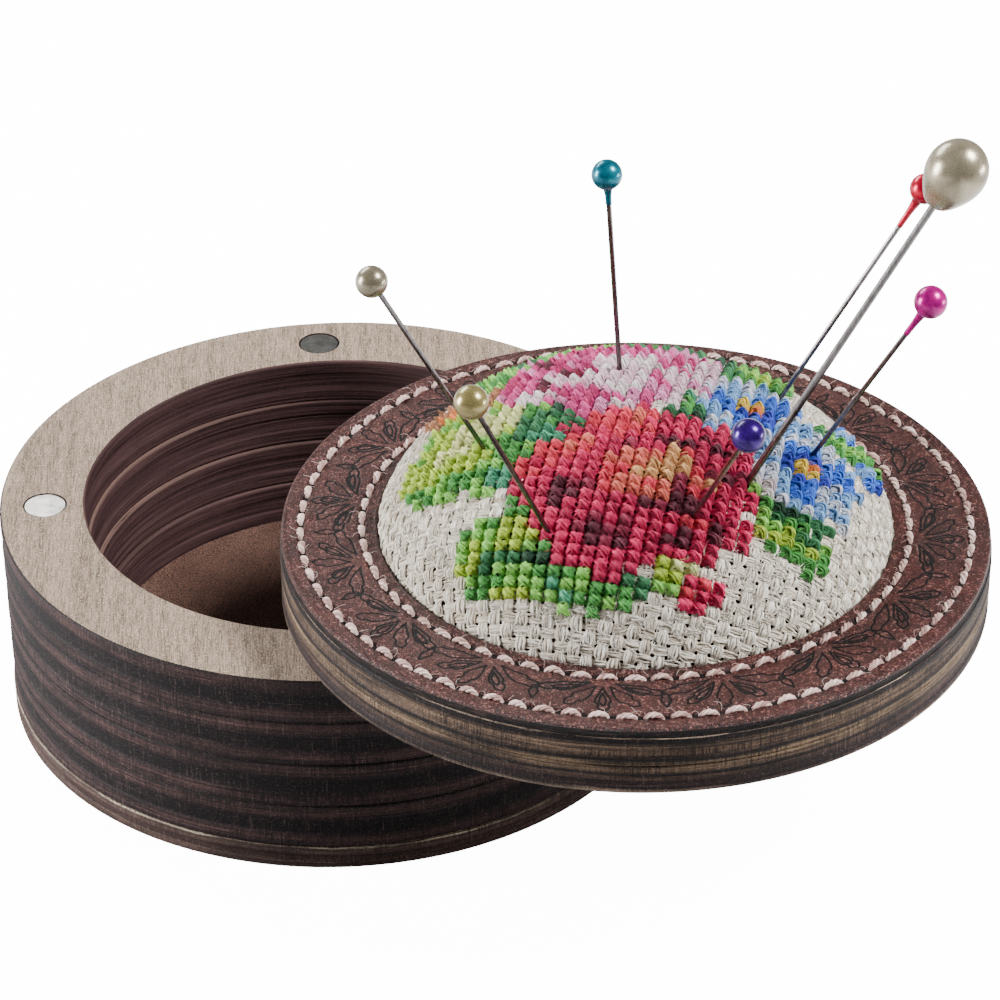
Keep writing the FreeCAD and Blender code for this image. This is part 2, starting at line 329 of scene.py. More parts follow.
def plywood(name, foot, sheet, face_light, face_dark, plies, soot, cavity_radius=0.0):
    """Stained plywood with burnt plies on its edges. foot and sheet are the lowest sheet's height and
    thickness. plies are a ramp's stops up one sheet, and soot is its darkest colour."""
    s = Shader(name, Specular_IOR_Level=0.15)
    fine = s.noise((6.0, 0.32, 1), 4, 0.7)
    speckle = s.noise((5, 3, 5), 3, 0.7)
    lines = s.noise((0.05, 0.05, 3.6), 5, 0.75)
    hairs = s.noise((5.0, 5.0, 0.22), 4, 0.7)

    # Each height becomes its share of the way up its own sheet, a little wavy. Sheets are counted from far
    # below the foot, so that the share stays positive.
    height = s.part(s.place(), 2)
    wobble = s.math("SUBTRACT", s.noise((0.06, 0.06, 0.1), 4, 0.6), 0.5)
    above = s.math("SUBTRACT", s.math("ADD", height, wobble), foot - 60 * sheet)
    share = s.math("FRACT", s.math("DIVIDE", above, sheet))
    face = plywood_face(s, face_light, face_dark, fine, speckle)
    edge = plywood_edge(s, s.ramp(share, *plies), soot, lines, hairs, speckle)
    if cavity_radius:
        face, edge = plywood_cavity(s, face, edge, height, share, lines, cavity_radius)
    upright = s.part(s.node("NewGeometry", {}, "Normal"), 2)
    top = s.ramp(s.math("ABSOLUTE", upright), (0.90, 0.0), (0.98, 1.0))
    rough = s.mix(top, s.ramp(lines, (0.3, 0.55), (0.7, 0.8)), (0.62, 0.62, 0.62, 1))
    relief = s.bump(s.math("MULTIPLY", fine, top), 0.05)
    relief = s.bump(s.math("ADD", lines, s.math("MULTIPLY", hairs, 0.5)), 0.07, relief)
    return s.wear(Base_Color=s.mix(top, edge, face), Roughness=rough, Normal=relief)


TAUPE, TAUPE_DARK, SOOT = linear(148, 129, 112), linear(82, 68, 56), linear(8, 4, 6)
box_wood = plywood("box_plywood", BOTTOM_SHEET, BOX_SHEET, TAUPE, TAUPE_DARK, [
    (0.0, linear(24, 14, 16)), (0.08, linear(56, 39, 40)), (0.2, linear(72, 52, 50)),
    (0.31, linear(42, 28, 29)), (0.38, SOOT), (0.62, SOOT), (0.70, linear(40, 26, 28)),
    (0.84, linear(74, 54, 51)), (0.96, linear(50, 34, 35)), (1.0, SOOT)], SOOT, BOX_BORE + 1.2)
disc_wood = plywood("disc_plywood", 0.0, BOTTOM_SHEET, TAUPE, TAUPE_DARK, [
    (0.0, linear(60, 45, 41)), (0.3, linear(88, 70, 62)), (0.55, linear(56, 41, 38)),
    (0.8, linear(96, 78, 70)), (0.93, linear(60, 45, 41)),
    # The palest stop, on the disc's eased upper edge, is a painted highlight.
    (0.975, linear(206, 190, 168))], linear(34, 22, 22))
lid_wood = plywood("lid_plywood", BOX_TOP + 0.1, 2 * LID_SHEET, TAUPE, TAUPE_DARK, [
    # The two palest stops, at the lid's lower edge, are a painted highlight.
    (0.0, linear(160, 142, 124)), (0.05, linear(128, 108, 94)), (0.09, linear(34, 22, 22)),
    (0.2, linear(46, 32, 31)), (0.28, linear(84, 66, 56)), (0.33, SOOT), (0.36, SOOT),
    (0.41, linear(108, 88, 70)), (0.55, linear(134, 112, 88)), (0.60, SOOT), (0.63, SOOT),
    (0.69, linear(98, 79, 65)), (0.86, linear(124, 102, 83)), (0.92, SOOT)], linear(12, 6, 7))


def leather(name, light, dark, tooled):
    """Brown leather with a fine pebbled grain, darkened in its creases as painted shade, with pale specks
    that are painted glints. Tooled lines are dark, where the mesh's own distance to a line is small, and so
    are stitch holes, as painted shade, and the burnished edge below the top."""
    s = Shader(name, Specular_IOR_Level=0.27, Coat_Weight=0.03, Coat_Roughness=0.25)
    grain = {"Vector": s.place((3.4, 3.4, 3.4)), "Scale": 1.0}
    pebbles = s.node("TexVoronoi", grain, "Distance", feature="DISTANCE_TO_EDGE")
    cloud = s.noise(0.16, 4, 0.6)
    dust_and_glints = s.noise(3.6, 3, 0.7)
    colour = s.mix(s.ramp(cloud, (0.35, 0.0), (0.68, 1.0)), dark, light)
    # Painted shade in the grain's creases.
    colour = s.mix(s.ramp(pebbles, (0.0, 0.8), (0.13, 0.0)), colour, linear(22, 9, 9))
    # Painted glints: pale specks standing in for highlights on the grain.
    colour = s.mix(s.ramp(dust_and_glints, (0.56, 0.0), (0.66, 0.75)), colour, linear(180, 124, 114))
    colour = s.mix(s.ramp(dust_and_glints, (0.36, 0.8), (0.48, 0.0)), colour, linear(20, 7, 7))
    rough = s.math("ADD", s.ramp(dust_and_glints, (0.3, -0.08), (0.7, 0.08)), s.ramp(cloud, (0.40, 0.27), (0.62, 0.42)))
    if tooled:
        # Tooled lines, and stitch holes painted dark as painted shade.
        line = s.ramp(s.value("tooled_lines_and_hole_shade"), (0.11, 1.0), (0.16, 0.0))
        below = s.math("SUBTRACT", LEATHER_TOP, s.part(s.place(), 2))
        burnished = s.ramp(below, (0.30, 0.0), (0.42, 1.0))
        scuffs = s.noise((0.5, 0.5, 5), 4, 0.7)
        colour = s.mix(line, colour, linear(2, 1, 1))
        colour = s.mix(burnished, colour, s.ramp(scuffs, (0.50, linear(4, 2, 2)), (0.72, linear(74, 52, 48))))
        rough = s.math("MAXIMUM", rough, s.math("MULTIPLY", s.math("MAXIMUM", line, burnished), 0.85))
    relief = s.bump(s.ramp(pebbles, (0.0, 0.0), (0.2, 1.0)), 0.11)
    relief = s.bump(dust_and_glints, 0.15, relief)
    return s.wear(Base_Color=colour, Roughness=rough, Normal=relief)


ring_leather = leather("tooled_leather", linear(72, 27, 22), linear(46, 16, 13), True)
floor_leather = leather("lining_leather", linear(140, 108, 94), linear(104, 78, 66), False)


def thread(name, colour, pale, deep, fibre=9.0, shine=0.2, rough=0.7):
    """Spun thread: fibres along each strand, and a tone of its own for each stitch. The deep and pale colours
    that tones and fibres take are painted shade and painted highlights.
    """
    s = Shader(name, Specular_IOR_Level=shine)
    strand = s.scaled(s.value("strand", "Vector"), (1.6, fibre * 0.35, fibre * 0.35))
    fibres = s.noise(strand, 3, 0.65, 0.3)
    tone = s.value("tone")
    # Painted shade and highlights: each tone between the deep and the pale colour.
    shade = s.mix(s.ramp(tone, (0.0, 0.0), (1.0, 1.0)), deep, pale)
    shade = s.mix(0.32, shade, colour)
    # Painted shade and painted highlights streaked along the fibres.
    shade = s.mix(s.ramp(fibres, (0.32, 0.6), (0.50, 0.0)), shade, deep)
    shade = s.mix(s.ramp(fibres, (0.56, 0.0), (0.76, 0.55)), shade, pale)
    roughness = s.ramp(fibres, (0.3, rough - 0.08), (0.7, rough + 0.1))
    return s.wear(Base_Color=shade, Roughness=roughness, Normal=s.bump(fibres, 0.16))


def shaded(colour, factor, lift=0.0):
    """A linear colour made lighter or darker without losing its hue."""
    return tuple(min(c * factor + lift, 1.0) for c in colour[:3]) + (1.0,)


# Each thread's second and third colours are its painted highlight and painted shade.
linen_thread = thread("linen_thread", linear(237, 227, 209), linear(255, 252, 243), linear(172, 155, 133),
                      10, 0.15, 0.9)
cream_thread = thread("waxed_thread", linear(224, 184, 172), linear(252, 230, 222), linear(120, 74, 66),
                      8, 0.25, 0.55)


def shaded_cloth_under():
    """The cloth seen through the weave's holes, coloured dark brown as painted shade in the holes."""
    s = Shader("linen_cloth_in_shade", Specular_IOR_Level=0.2)
    weave = s.noise(1.4, 4, 0.7)
    colour = s.ramp(weave, (0.35, linear(58, 46, 38)), (0.65, linear(104, 88, 74)))
    rough = s.ramp(weave, (0.0, 0.8), (1.0, 1.0))
    return s.wear(Base_Color=colour, Roughness=rough, Normal=s.bump(weave, 0.1))


def magnet_metal():
    """Bright nickel with faint turning marks and scratches."""
    s = Shader("nickel", Metallic=1.0)
    scratches = s.noise((0.9, 7.0, 1), 4, 0.7)
    colour = s.ramp(s.noise(0.6, 3), (0.3, linear(150, 149, 144)), (0.7, linear(190, 188, 182)))
    rough = s.ramp(scratches, (0.3, 0.14), (0.7, 0.26))
    return s.wear(Base_Color=colour, Roughness=rough, Normal=s.bump(scratches, 0.01))


def pin_metal():
    """Drawn steel wire with fine lines along it."""
    s = Shader("pin_steel", Metallic=0.95)
    lines = s.noise((3, 3, 0.6), 3, 0.6)
    colour = s.ramp(lines, (0.3, linear(84, 80, 80)), (0.7, linear(118, 114, 114)))
    rough = s.ramp(lines, (0.3, 0.13), (0.7, 0.22))
    return s.wear(Base_Color=colour, Roughness=rough, Normal=s.bump(lines, 0.003))


def pearl(name, light, dark):
    """Pearl lacquer over a bead: a soft metallic lustre under a clear coat."""
    s = Shader(name, Metallic=0.6, Coat_Weight=0.25, Coat_Roughness=0.12)
    cloud = s.ramp(s.noise(0.5, 3, 0.5, 0.5), (0.3, dark), (0.7, light))
    flecks = s.noise(5, 3, 0.7)
    colour = s.mix(s.ramp(flecks, (0.4, 0.0), (0.7, 0.3)), cloud, light)
    rough = s.ramp(flecks, (0.3, 0.22), (0.7, 0.34))
    return s.wear(Base_Color=colour, Roughness=rough, Normal=s.bump(flecks, 0.004))


def lacquer(name, light, dark):
    """A glossy painted bead."""
    s = Shader(name, Coat_Weight=0.2, Coat_Roughness=0.06, Metallic=0.45, Specular_IOR_Level=0.2)
    cloud = s.noise(0.7, 3, 0.5, 0.5)
    colour = s.ramp(cloud, (0.35, dark), (0.65, light))
    rough = s.ramp(s.noise(4, 2), (0.3, 0.22), (0.7, 0.34))
    return s.wear(Base_Color=colour, Roughness=rough, Normal=s.bump(cloud, 0.03))


# ---------------------------------------------------------------- plywood pieces

AROUND, EDGE_ROWS = 720, 45           # points round a sheet, and up its edge
CORE_REACH, CORE_DEPTH = 0.17, 0.14   # the edge's sunken middle: half its height as a share, and its depth


def edge_rows(low, thickness, seed):
    """Heights and inward depths up a sheet's burnt edge, and how much each row's depth varies round it."""
    share = np.linspace(0, 1, EDGE_ROWS)
    rows = np.random.default_rng(seed)
    past_core = (np.abs(share - 0.5) - CORE_REACH) / 0.012
    core = CORE_DEPTH / (1 + np.exp(past_core))
    glue_line = 0.05 * np.exp(-past_core ** 2)
    eased = 0.22 * np.clip(1 - np.minimum(share, 1 - share) * thickness / 0.22, 0, 1) ** 2
    fine = rows.uniform(0, 0.045, EDGE_ROWS)
    return low + share * thickness, core + glue_line + fine + eased, rows.uniform(0.2, 1.0, EDGE_ROWS)


def wavy(angle, row, amount):
    """A slow change round the sheet, of its own for each row."""
    phase = row * 2.4
    waves = np.sin(3 * angle + phase) + 0.6 * np.sin(7 * angle + 1.7 * phase)
    return amount * (waves + 0.4 * np.sin(17 * angle + phase))


def apply_modifiers(piece):
    """Makes what the piece's modifiers give its own mesh."""
    bpy.context.view_layer.update()
    made = bpy.data.meshes.new_from_object(piece.evaluated_get(bpy.context.evaluated_depsgraph_get()))
    piece.modifiers.clear()
    piece.data = made


def cut_pocket(piece, spot, foot, body, material):
    """Cuts a magnet's round pocket, with a cutter that stands on foot."""
    side = np.arange(POCKET_SIDES)
    ahead = (side + 1) % POCKET_SIDES
    angle = TURN * side / POCKET_SIDES
    ring = np.stack([spot[0] + POCKET_RADIUS * np.cos(angle), spot[1] + POCKET_RADIUS * np.sin(angle),
                     np.full(POCKET_SIDES, foot)], -1)
    wall = np.stack([side, ahead, ahead + POCKET_SIDES, side + POCKET_SIDES], -1)
    cutter = make_piece("cutter", np.concatenate([ring, ring + (0, 0, CUTTER_HEIGHT)]),
                        [wall, side[::-1][None], (POCKET_SIDES + side)[None]],
                        body, material, smooth=False)
    cut = piece.modifiers.new("pocket", "BOOLEAN")
    cut.operation, cut.solver, cut.object = "DIFFERENCE", "EXACT", cutter
    apply_modifiers(piece)
    bpy.data.objects.remove(cutter)


def sheet_piece(name, replaced, radius, bore, thickness, body, material, seed, centre=(0, 0),
                bore_centre=0.0, pockets=()):
    """A plywood ring or disc in place of a CAD node, with real relief on its burnt edges. bore is 0 for a
    disc. pockets are the places and feet of its magnets' pockets."""
    low = node_box(replaced)[0][2]
    z, inward, vary = edge_rows(low, thickness, seed)
    outer = np.stack([radius - inward, z], -1)
    row = np.arange(EDGE_ROWS)
    if bore:
        profile = np.concatenate([outer, np.stack([bore + inward, z], -1)[::-1]])
        rows = np.concatenate([row, 60 + row[::-1]])
        sense = np.repeat([-1.0, 1.0], EDGE_ROWS)
        size = np.concatenate([vary, vary[::-1]])
    else:
        profile = np.concatenate([outer, [[1.0, low + thickness], [1.0, low]]])
        rows = np.append(row, [0, 0])
        sense = np.append(-np.ones(EDGE_ROWS), [0, 0])
        size = np.append(vary, [0, 0])

    def relief(angle, r, z):
        inside = np.clip(wavy(angle, rows, 0.012) + 0.02, 0, 0.06)
        return r + sense * size * inside, z

    points, faces = lathe(profile, AROUND, relief)
    if bore:
        points[:, 0] += bore_centre * (np.hypot(points[:, 0], points[:, 1]) < (radius + bore) / 2)
    else:
        # The small hole that the outline leaves in the middle becomes one face above and one below.
        start = np.arange(AROUND)[:, None] * len(profile)
        wall = faces[0].reshape(AROUND, len(profile), 4)
        faces = [np.delete(wall, EDGE_ROWS, axis=1).reshape(-1, 4),
                 (start + EDGE_ROWS).reshape(1, -1), (start + EDGE_ROWS + 1)[::-1].reshape(1, -1)]
    piece = make_piece(name, points, faces, body, material, where=centre)
    polygons = piece.data.polygons
    polygons.foreach_set("use_smooth", [len(p.vertices) == 4 and abs(p.normal.z) < 0.9 for p in polygons])
    for spot, foot in pockets:
        cut_pocket(piece, spot, foot, body, material)
    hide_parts(replaced)


def magnet_spots(node):
    """The four magnets' places, told apart by the gaps between their vertices' bearings."""
    co = node_points(node)[:, :2]
    centre = (co.min(0) + co.max(0)) / 2
    bearing = np.arctan2(co[:, 1] - centre[1], co[:, 0] - centre[0])
    turn = np.sort(bearing)
    gaps = np.diff(np.append(turn, turn[0] + TURN))
    ends = np.sort(np.argsort(gaps)[-4:])
    spots = []
    for before, last in zip(ends, np.roll(ends, -1)):
        low, high = turn[(before + 1) % len(turn)], turn[last]
        high += TURN if high < low else 0
        away = np.abs((bearing - (low + high) / 2 + math.pi) % TURN - math.pi)
        mine = co[away < (high - low) / 2 + 1e-3]
        spots.append((mine.min(0) + mine.max(0)) / 2)
    return spots


for level in range(BOX_SHEETS):
    number, below = level + 1, BOX_SHEETS - 1 - level
    spots = [] if below else magnet_spots("box_magnets")
    sheet_piece("plywood_ring_%d" % number, "box_ring_%d" % number, BOX_RADIUS, BOX_BORE - BORE_STEP * below,
                BOX_SHEET, "box", box_wood, 11 + level, bore_centre=BORE_SHIFT * below,
                pockets=[(spot, BOX_TOP - POCKET_DEPTH) for spot in spots])
sheet_piece("plywood_bottom", "bottom_disc", BOTTOM_RADIUS, 0, BOTTOM_SHEET, "box", disc_wood, 21)
pocket_foot = node_box("lid_base_disc")[0][2] + POCKET_DEPTH - CUTTER_HEIGHT
sheet_piece("plywood_lid_base", "lid_base_disc", LID_RADIUS, 0, LID_SHEET, "lid", lid_wood, 31, LID,
            pockets=[(spot, pocket_foot) for spot in magnet_spots("lid_magnets")])
sheet_piece("plywood_lid_ring", "lid_upper_ring", LID_RADIUS, LID_BORE, LID_SHEET, "lid", lid_wood, 32, LID)


def dress(node, material):
    """A better material for a CAD node that stays."""
    mesh = frame["nodes"][node].data
    mesh.materials.clear()
    mesh.materials.append(material)


nickel = magnet_metal()
dress("box_magnets", nickel)
dress("lid_magnets", nickel)
dress("floor_lining", floor_leather)

# ---------------------------------------------------------------- leather ring and its stitching

LEATHER_RADIUS, LEATHER_BORE, LEATHER_FOOT = 41.7, 30.3, leather_low[2]
ROWS = {"outer_stitching": (39.4, 82), "inner_stitching": (32.2, 68)}
STITCH_LENGTH = 2.1
MOTIFS = 8
BAND_MIDDLE = 35.8                # the tooled band's middle radius
GROOVE_DEPTH, HOLE_DEPTH, PRESSED = 0.07, 0.3, 0.05    # tooled lines, stitch holes, and the whole top
FAR = 0.6                         # distances from a tooled line are kept up to this


def bent_leaf(base, lean, length, width, bend, away=1.5, inner=1.0, points=44):
    """A lobed leaf's outline, as a closed line of (along, across) points. It starts away from its base."""
    t = np.linspace(0, 1, points)
    turn = lean + bend * t
    step = (length - away) * inner / points
    start = base + (away + (1 - inner) * 0.5 * (length - away)) * np.array([math.sin(lean), math.cos(lean)])
    spine = np.stack([np.cumsum(np.sin(turn)), np.cumsum(np.cos(turn))], -1) * step + start
    normal = np.stack([np.cos(turn), -np.sin(turn)], -1)
    lobe = np.where(t > 0.62, 0.30 * np.sin(TURN * (t - 0.62) / 0.38), 0.0) if inner == 1.0 else 0.0
    half = width * inner * np.sin(math.pi * t ** 1.35) ** 0.85 * (1 - lobe)
    return np.concatenate([spine + normal * half[:, None], (spine - normal * half[:, None])[::-1]])


# One repeat of the tooled pattern, as fans of leaves: a foot, and each leaf's lean, length, half width, bend
# and whether it is drawn double. Two open fans rise from the inner row, with small leaves between.
FANS = [
    ((-7.0, -3.2), [(0.05, 6.0, 0.84, 0.15, 1), (0.60, 6.5, 0.82, 0.35, 0), (-0.52, 6.3, 0.84, -0.3, 0),
                    (1.12, 7.6, 0.80, 0.30, 1), (-1.08, 7.7, 0.78, -0.35, 1)]),
    ((7.1, -3.2), [(-0.12, 6.1, 0.84, -0.2, 0), (0.48, 6.3, 0.80, 0.35, 1), (-0.70, 6.7, 0.80, -0.25, 1),
                   (1.04, 7.7, 0.80, 0.35, 0), (-1.18, 7.8, 0.78, -0.20, 0)]),
    ((0.1, 3.5), [(math.pi, 4.2, 0.55, 0.0, 0)]),
    ((14.1, 3.5), [(math.pi + 0.1, 4.0, 0.5, 0.2, 0)]),
]


def motif_lines():
    """The lines of one repeat of the tooled pattern."""
    lines = []
    for foot, leaves in FANS:
        for lean, length, width, bend, double in leaves:
            lines.append(bent_leaf(np.array(foot), lean, length, width, bend))
            if double:
                lines.append(bent_leaf(np.array(foot), lean, length, width * 0.8, bend, inner=0.55))
    return lines


def line_distance(points, lines):
    """Each point's distance from the nearest line, up to FAR, in a strip that repeats along its length."""
    repeat = TURN * BAND_MIDDLE / MOTIFS
    best = np.full(len(points), FAR)
    for line in lines:
        for start, end in zip(line[:-1], line[1:]):
            run = end - start
            size = run @ run
            if size < 1e-9:
                continue
            away = points - start
            away[:, 0] -= repeat * np.round(away[:, 0] / repeat)
            close = np.abs(away).max(1) < 2 * FAR
            t = np.clip(away[close] @ run / size, 0, 1)
            best[close] = np.minimum(best[close], np.linalg.norm(away[close] - t[:, None] * run, axis=1))
    return best


def tooling_distance(angle, radii):
    """The top's distance from its nearest tooled line, at each angle and radius."""
    sector = angle[:len(angle) // MOTIFS]
    along, across = np.broadcast_arrays(sector[:, None] * BAND_MIDDLE, radii - BAND_MIDDLE)
    near = line_distance(np.stack([along.ravel(), across.ravel()], -1), motif_lines())
    return np.tile(near.reshape(along.shape), (MOTIFS, 1))


def stitch_hollows(angle, radii):
    """How hollow the top is at each angle and radius: 1 in a stitch's holes, and less under its cord."""
    hollow = np.zeros((len(angle), len(radii)))
    for radius, count in ROWS.values():
        pitch = TURN / count
        local = (angle + pitch / 2) % pitch - pitch / 2
        along = np.abs(local[:, None]) * radii
        across = radii - radius
        hole = np.hypot(along - STITCH_LENGTH / 2 - 0.2, across)
        hollow = np.maximum(hollow, np.clip((0.56 - hole) / 0.25, 0, 1))
        under = np.clip(1 - np.abs(across) / 0.9, 0, 1) * np.clip(1.4 - along, 0, 1)
        hollow = np.maximum(hollow, 0.25 * under)
    return hollow


def make_leather():
    """The leather ring: tooled grooves, hollows under its stitches and a hole at each end of a stitch."""
    around, across, edge = 2000, 84, 0.35
    bend = np.linspace(0, math.pi / 2, 5)
    round_z = LEATHER_TOP - edge + edge * np.sin(bend)
    outer = np.stack([LEATHER_RADIUS - edge + edge * np.cos(bend), round_z], -1)
    inner = np.stack([LEATHER_BORE + edge - edge * np.cos(bend), round_z], -1)[::-1]
    outer = np.concatenate([[(LEATHER_RADIUS, LEATHER_FOOT)], outer])
    inner = np.concatenate([inner, [(LEATHER_BORE, LEATHER_FOOT)]])
    radii = np.linspace(outer[-1, 0], inner[0, 0], across + 2)[1:-1]
    top = np.stack([radii, np.full(across, LEATHER_TOP)], -1)
    profile = np.concatenate([outer, top, inner])

    angle = TURN * np.arange(around) / around
    near, hollow = tooling_distance(angle, radii), stitch_hollows(angle, radii)
    groove = np.clip((0.17 - near) / 0.12, 0, 1)
    swell = 0.02 * np.sin(9 * angle[:, None] + radii) + 0.02 * np.sin(23 * angle[:, None] - 2 * radii)
    depth = GROOVE_DEPTH * groove + HOLE_DEPTH * hollow + PRESSED + swell

    points, faces = lathe(profile, around)
    on_top = slice(len(outer), len(outer) + across)
    grid = points.reshape(around, len(profile), 3)
    grid[:, on_top, 2] -= depth
    mark = np.full((around, len(profile)), FAR)
    # Stitch holes get a small distance too, so that they are painted dark: painted shade.
    mark[:, on_top] = np.minimum(near, FAR * (1 - np.clip(hollow, 0, 1)))
    piece = make_piece("tooled_leather_ring", grid, faces, "lid", ring_leather,
                       {"tooled_lines_and_hole_shade": mark.ravel()}, where=LID)
    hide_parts("leather_ring")


def make_threads(name, material, made, tone):
    """A piece on the lid from many tubes. tone is each tube's own, from 0 to 1."""
    points, faces, strand = made
    tone = np.repeat(tone, len(points) // len(tone))
    return make_piece(name, points, faces, "lid", material, {"strand": strand, "tone": tone}, where=LID)


def polar(radius, angle, z):
    return np.stack([radius * np.cos(angle), radius * np.sin(angle), z], -1)


def stitch_plies(radius, count, k, t):
    """One stitch of a row, as a cord of three plies from a hole up over the leather and back down."""
    plies, end_depth = 3, 0.42
    turn = TURN * k / count + draw.normal(0, 0.0022)
    lean = draw.normal(0, 0.08)
    rise = 0.34 + draw.normal(0, 0.06)
    length = STITCH_LENGTH + 0.28 + draw.normal(0, 0.13)
    along = (t - 0.5) * length
    up = -end_depth + (rise + end_depth) * np.sin(math.pi * t) ** 0.55
    swell = 0.23 * np.sin(math.pi * t) ** 0.4
    paths = []
    for ply in range(plies):
        twist = TURN * (ply / plies + 1.3 * t) + k
        r = radius + along * lean + swell * np.cos(twist) * 1.15
        z = LEATHER_TOP + up - 0.22 + swell * np.sin(twist) * 0.72
        paths.append(polar(r, turn + along / radius, z))
    return paths, list(draw.uniform(0, 1, plies))


def stitch_fibre(radius, count, k, t):
    """A loose fibre that curls over a row of stitches."""
    turn = TURN * (k + draw.uniform(-0.4, 0.4)) / count
    heading, bend = draw.uniform(0, TURN), draw.normal(0, 0.9)
    size = draw.uniform(0.5, 1.5)
    x = size * t * np.cos(heading + bend * t)
    y = size * t * np.sin(heading + bend * t)
    z = LEATHER_TOP + 0.15 + size * 0.35 * np.sin(2.4 * t)
    return polar(radius + y, turn + x / radius, z)


def make_stitching(node):
    """A row of plump stitches, with two loose fibres for each."""
    radius, count = ROWS[node]
    cord, fibre, sides = 0.182, 0.016, 8
    t = np.linspace(0, 1, 18)
    paths, tones = [], []
    for k in range(count):
        plies, tone = stitch_plies(radius, count, k, t)
        paths += plies
        tones += tone
    cords = len(paths)
    paths += [stitch_fibre(radius, 2 * count, k, t) for k in range(2 * count)]
    tones += [1.0] * (2 * count)
    paths = np.array(paths)
    ups = np.broadcast_to((0.0, 0.0, 1.0), paths.shape)
    thick = np.tile(cord * (0.55 + 0.45 * np.sin(math.pi * t) ** 0.4), (len(paths), 1))
    thick[cords:] = fibre
    piece = make_threads(node + "_thread", cream_thread,
                         tubes(paths, ups, thick, thick * 0.92, sides), tones)
    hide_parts(node)


make_leather()
make_stitching("outer_stitching")
make_stitching("inner_stitching")

# ---------------------------------------------------------------- cushion

COLUMN, ROW = 1.62, 1.42          # the weave's cell, across and along
WEAVE_TURN, WEAVE_DRIFT = math.radians(-17.0), math.radians(0.25)
SINK = 0.45                       # the thread's middle lies this far under the dome
side_power, crown_power = 2.1, 1.6

t = np.linspace(math.pi / 2, 0, 4000)
arc_r = DOME_RADIUS * np.cos(t) ** (2 / side_power)
arc_z = DOME_HEIGHT * np.sin(t) ** (2 / crown_power)
arc_s = np.concatenate([[0], np.cumsum(np.hypot(np.diff(arc_r), np.diff(arc_z)))])
ARC = arc_s[-1]
slope_r, slope_z = np.gradient(arc_r, arc_s), np.gradient(arc_z, arc_s)


def dome_point(s, phi, lift):
    """The point at arc length s from the crown and bearing phi, lifted off the dome, and its normal."""
    over = np.maximum(s - ARC, 0)
    r, z = np.interp(s, arc_s, arc_r), np.interp(s, arc_s, arc_z) - over
    nr, nz = -np.interp(s, arc_s, slope_z), np.interp(s, arc_s, slope_r)
    size = np.hypot(nr, nz)
    nr, nz = nr / size, nz / size
    r, z = r + nr * lift, z + nz * lift
    point = np.stack([r * np.cos(phi), r * np.sin(phi), LEATHER_TOP + z], -1)
    return point, np.stack([nr * np.cos(phi), nr * np.sin(phi), nz], -1)


def simulate(piece, cap):
    """Puffs the pad up with Blender's cloth, under pressure, and keeps each point within cap of its start."""
    scene = bpy.context.scene
    start = np.array([v.co for v in piece.data.vertices])
    held = piece.vertex_groups.new(name="held")
    low = start[:, 2] < (LEATHER_TOP - 1.0) * MM
    held.add([int(i) for i in np.flatnonzero(low)], 1.0, "REPLACE")
    cloth = piece.modifiers.new("cloth", "CLOTH")
    cloth.settings.use_pressure = True
    cloth.settings.uniform_pressure_force = 4.0
    cloth.settings.effector_weights.gravity = 0.0
    cloth.settings.vertex_group_mass = "held"
    cloth.settings.quality = 4
    frames = 20
    cloth.point_cache.frame_start, cloth.point_cache.frame_end = 1, frames
    for step in range(1, frames + 1):
        scene.frame_set(step)
    puffed = piece.evaluated_get(bpy.context.evaluated_depsgraph_get())
    end = np.array([v.co for v in puffed.data.vertices])
    piece.modifiers.remove(cloth)
    scene.frame_set(1)
    move = end - start
    size = np.linalg.norm(move, axis=1, keepdims=True)
    move = np.where(np.isfinite(move), move, 0) * np.minimum(1, cap / np.maximum(size, 1e-12))
    piece.data.vertices.foreach_set("co", (start + move).astype(np.float32).ravel())
    piece.vertex_groups.clear()


def make_pad():
    """The stuffed cloth pad under the weave: a crowned closed form, puffed up by simulation."""
    foot = cushion_low[2] + 0.1
    shrink = SINK + 0.75
    s = np.linspace(0.0, ARC, 60)[1:]
    rows = [(r, z) for r, _, z in dome_point(s, np.zeros(len(s)), -shrink)[0]]
    rows = [(0.0, LEATHER_TOP + DOME_HEIGHT - shrink)] + rows + [(rows[-1][0], foot), (0.0, foot)]
    foot_centre, up = np.array([LID_X, LID_Y, 0.0]), np.array([0.0, 0.0, 1.0])
    points, faces = axle(rows[::-1], 160, foot_centre, up)
    piece = make_piece("cushion_pad", points, faces, "lid", shaded_cloth_under())
    even = piece.modifiers.new("even", "REMESH")
    even.mode, even.voxel_size, even.use_smooth_shade = "VOXEL", 1.1 * MM, True
    apply_modifiers(piece)
    piece.parent = None
    simulate(piece, 0.6 * MM)
    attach(piece, "lid")
    finer = piece.modifiers.new("finer", "SUBSURF")
    finer.levels = finer.render_levels = 1
    piece.data.polygons.foreach_set("use_smooth", np.full(len(piece.data.polygons), True))
    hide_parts("cushion_cover", "cushion_filling", "cushion_board", "embroidery")
    return piece


ARCS, BEARINGS = 20, 48           # the pad is measured at so many arc lengths, and bearings at each


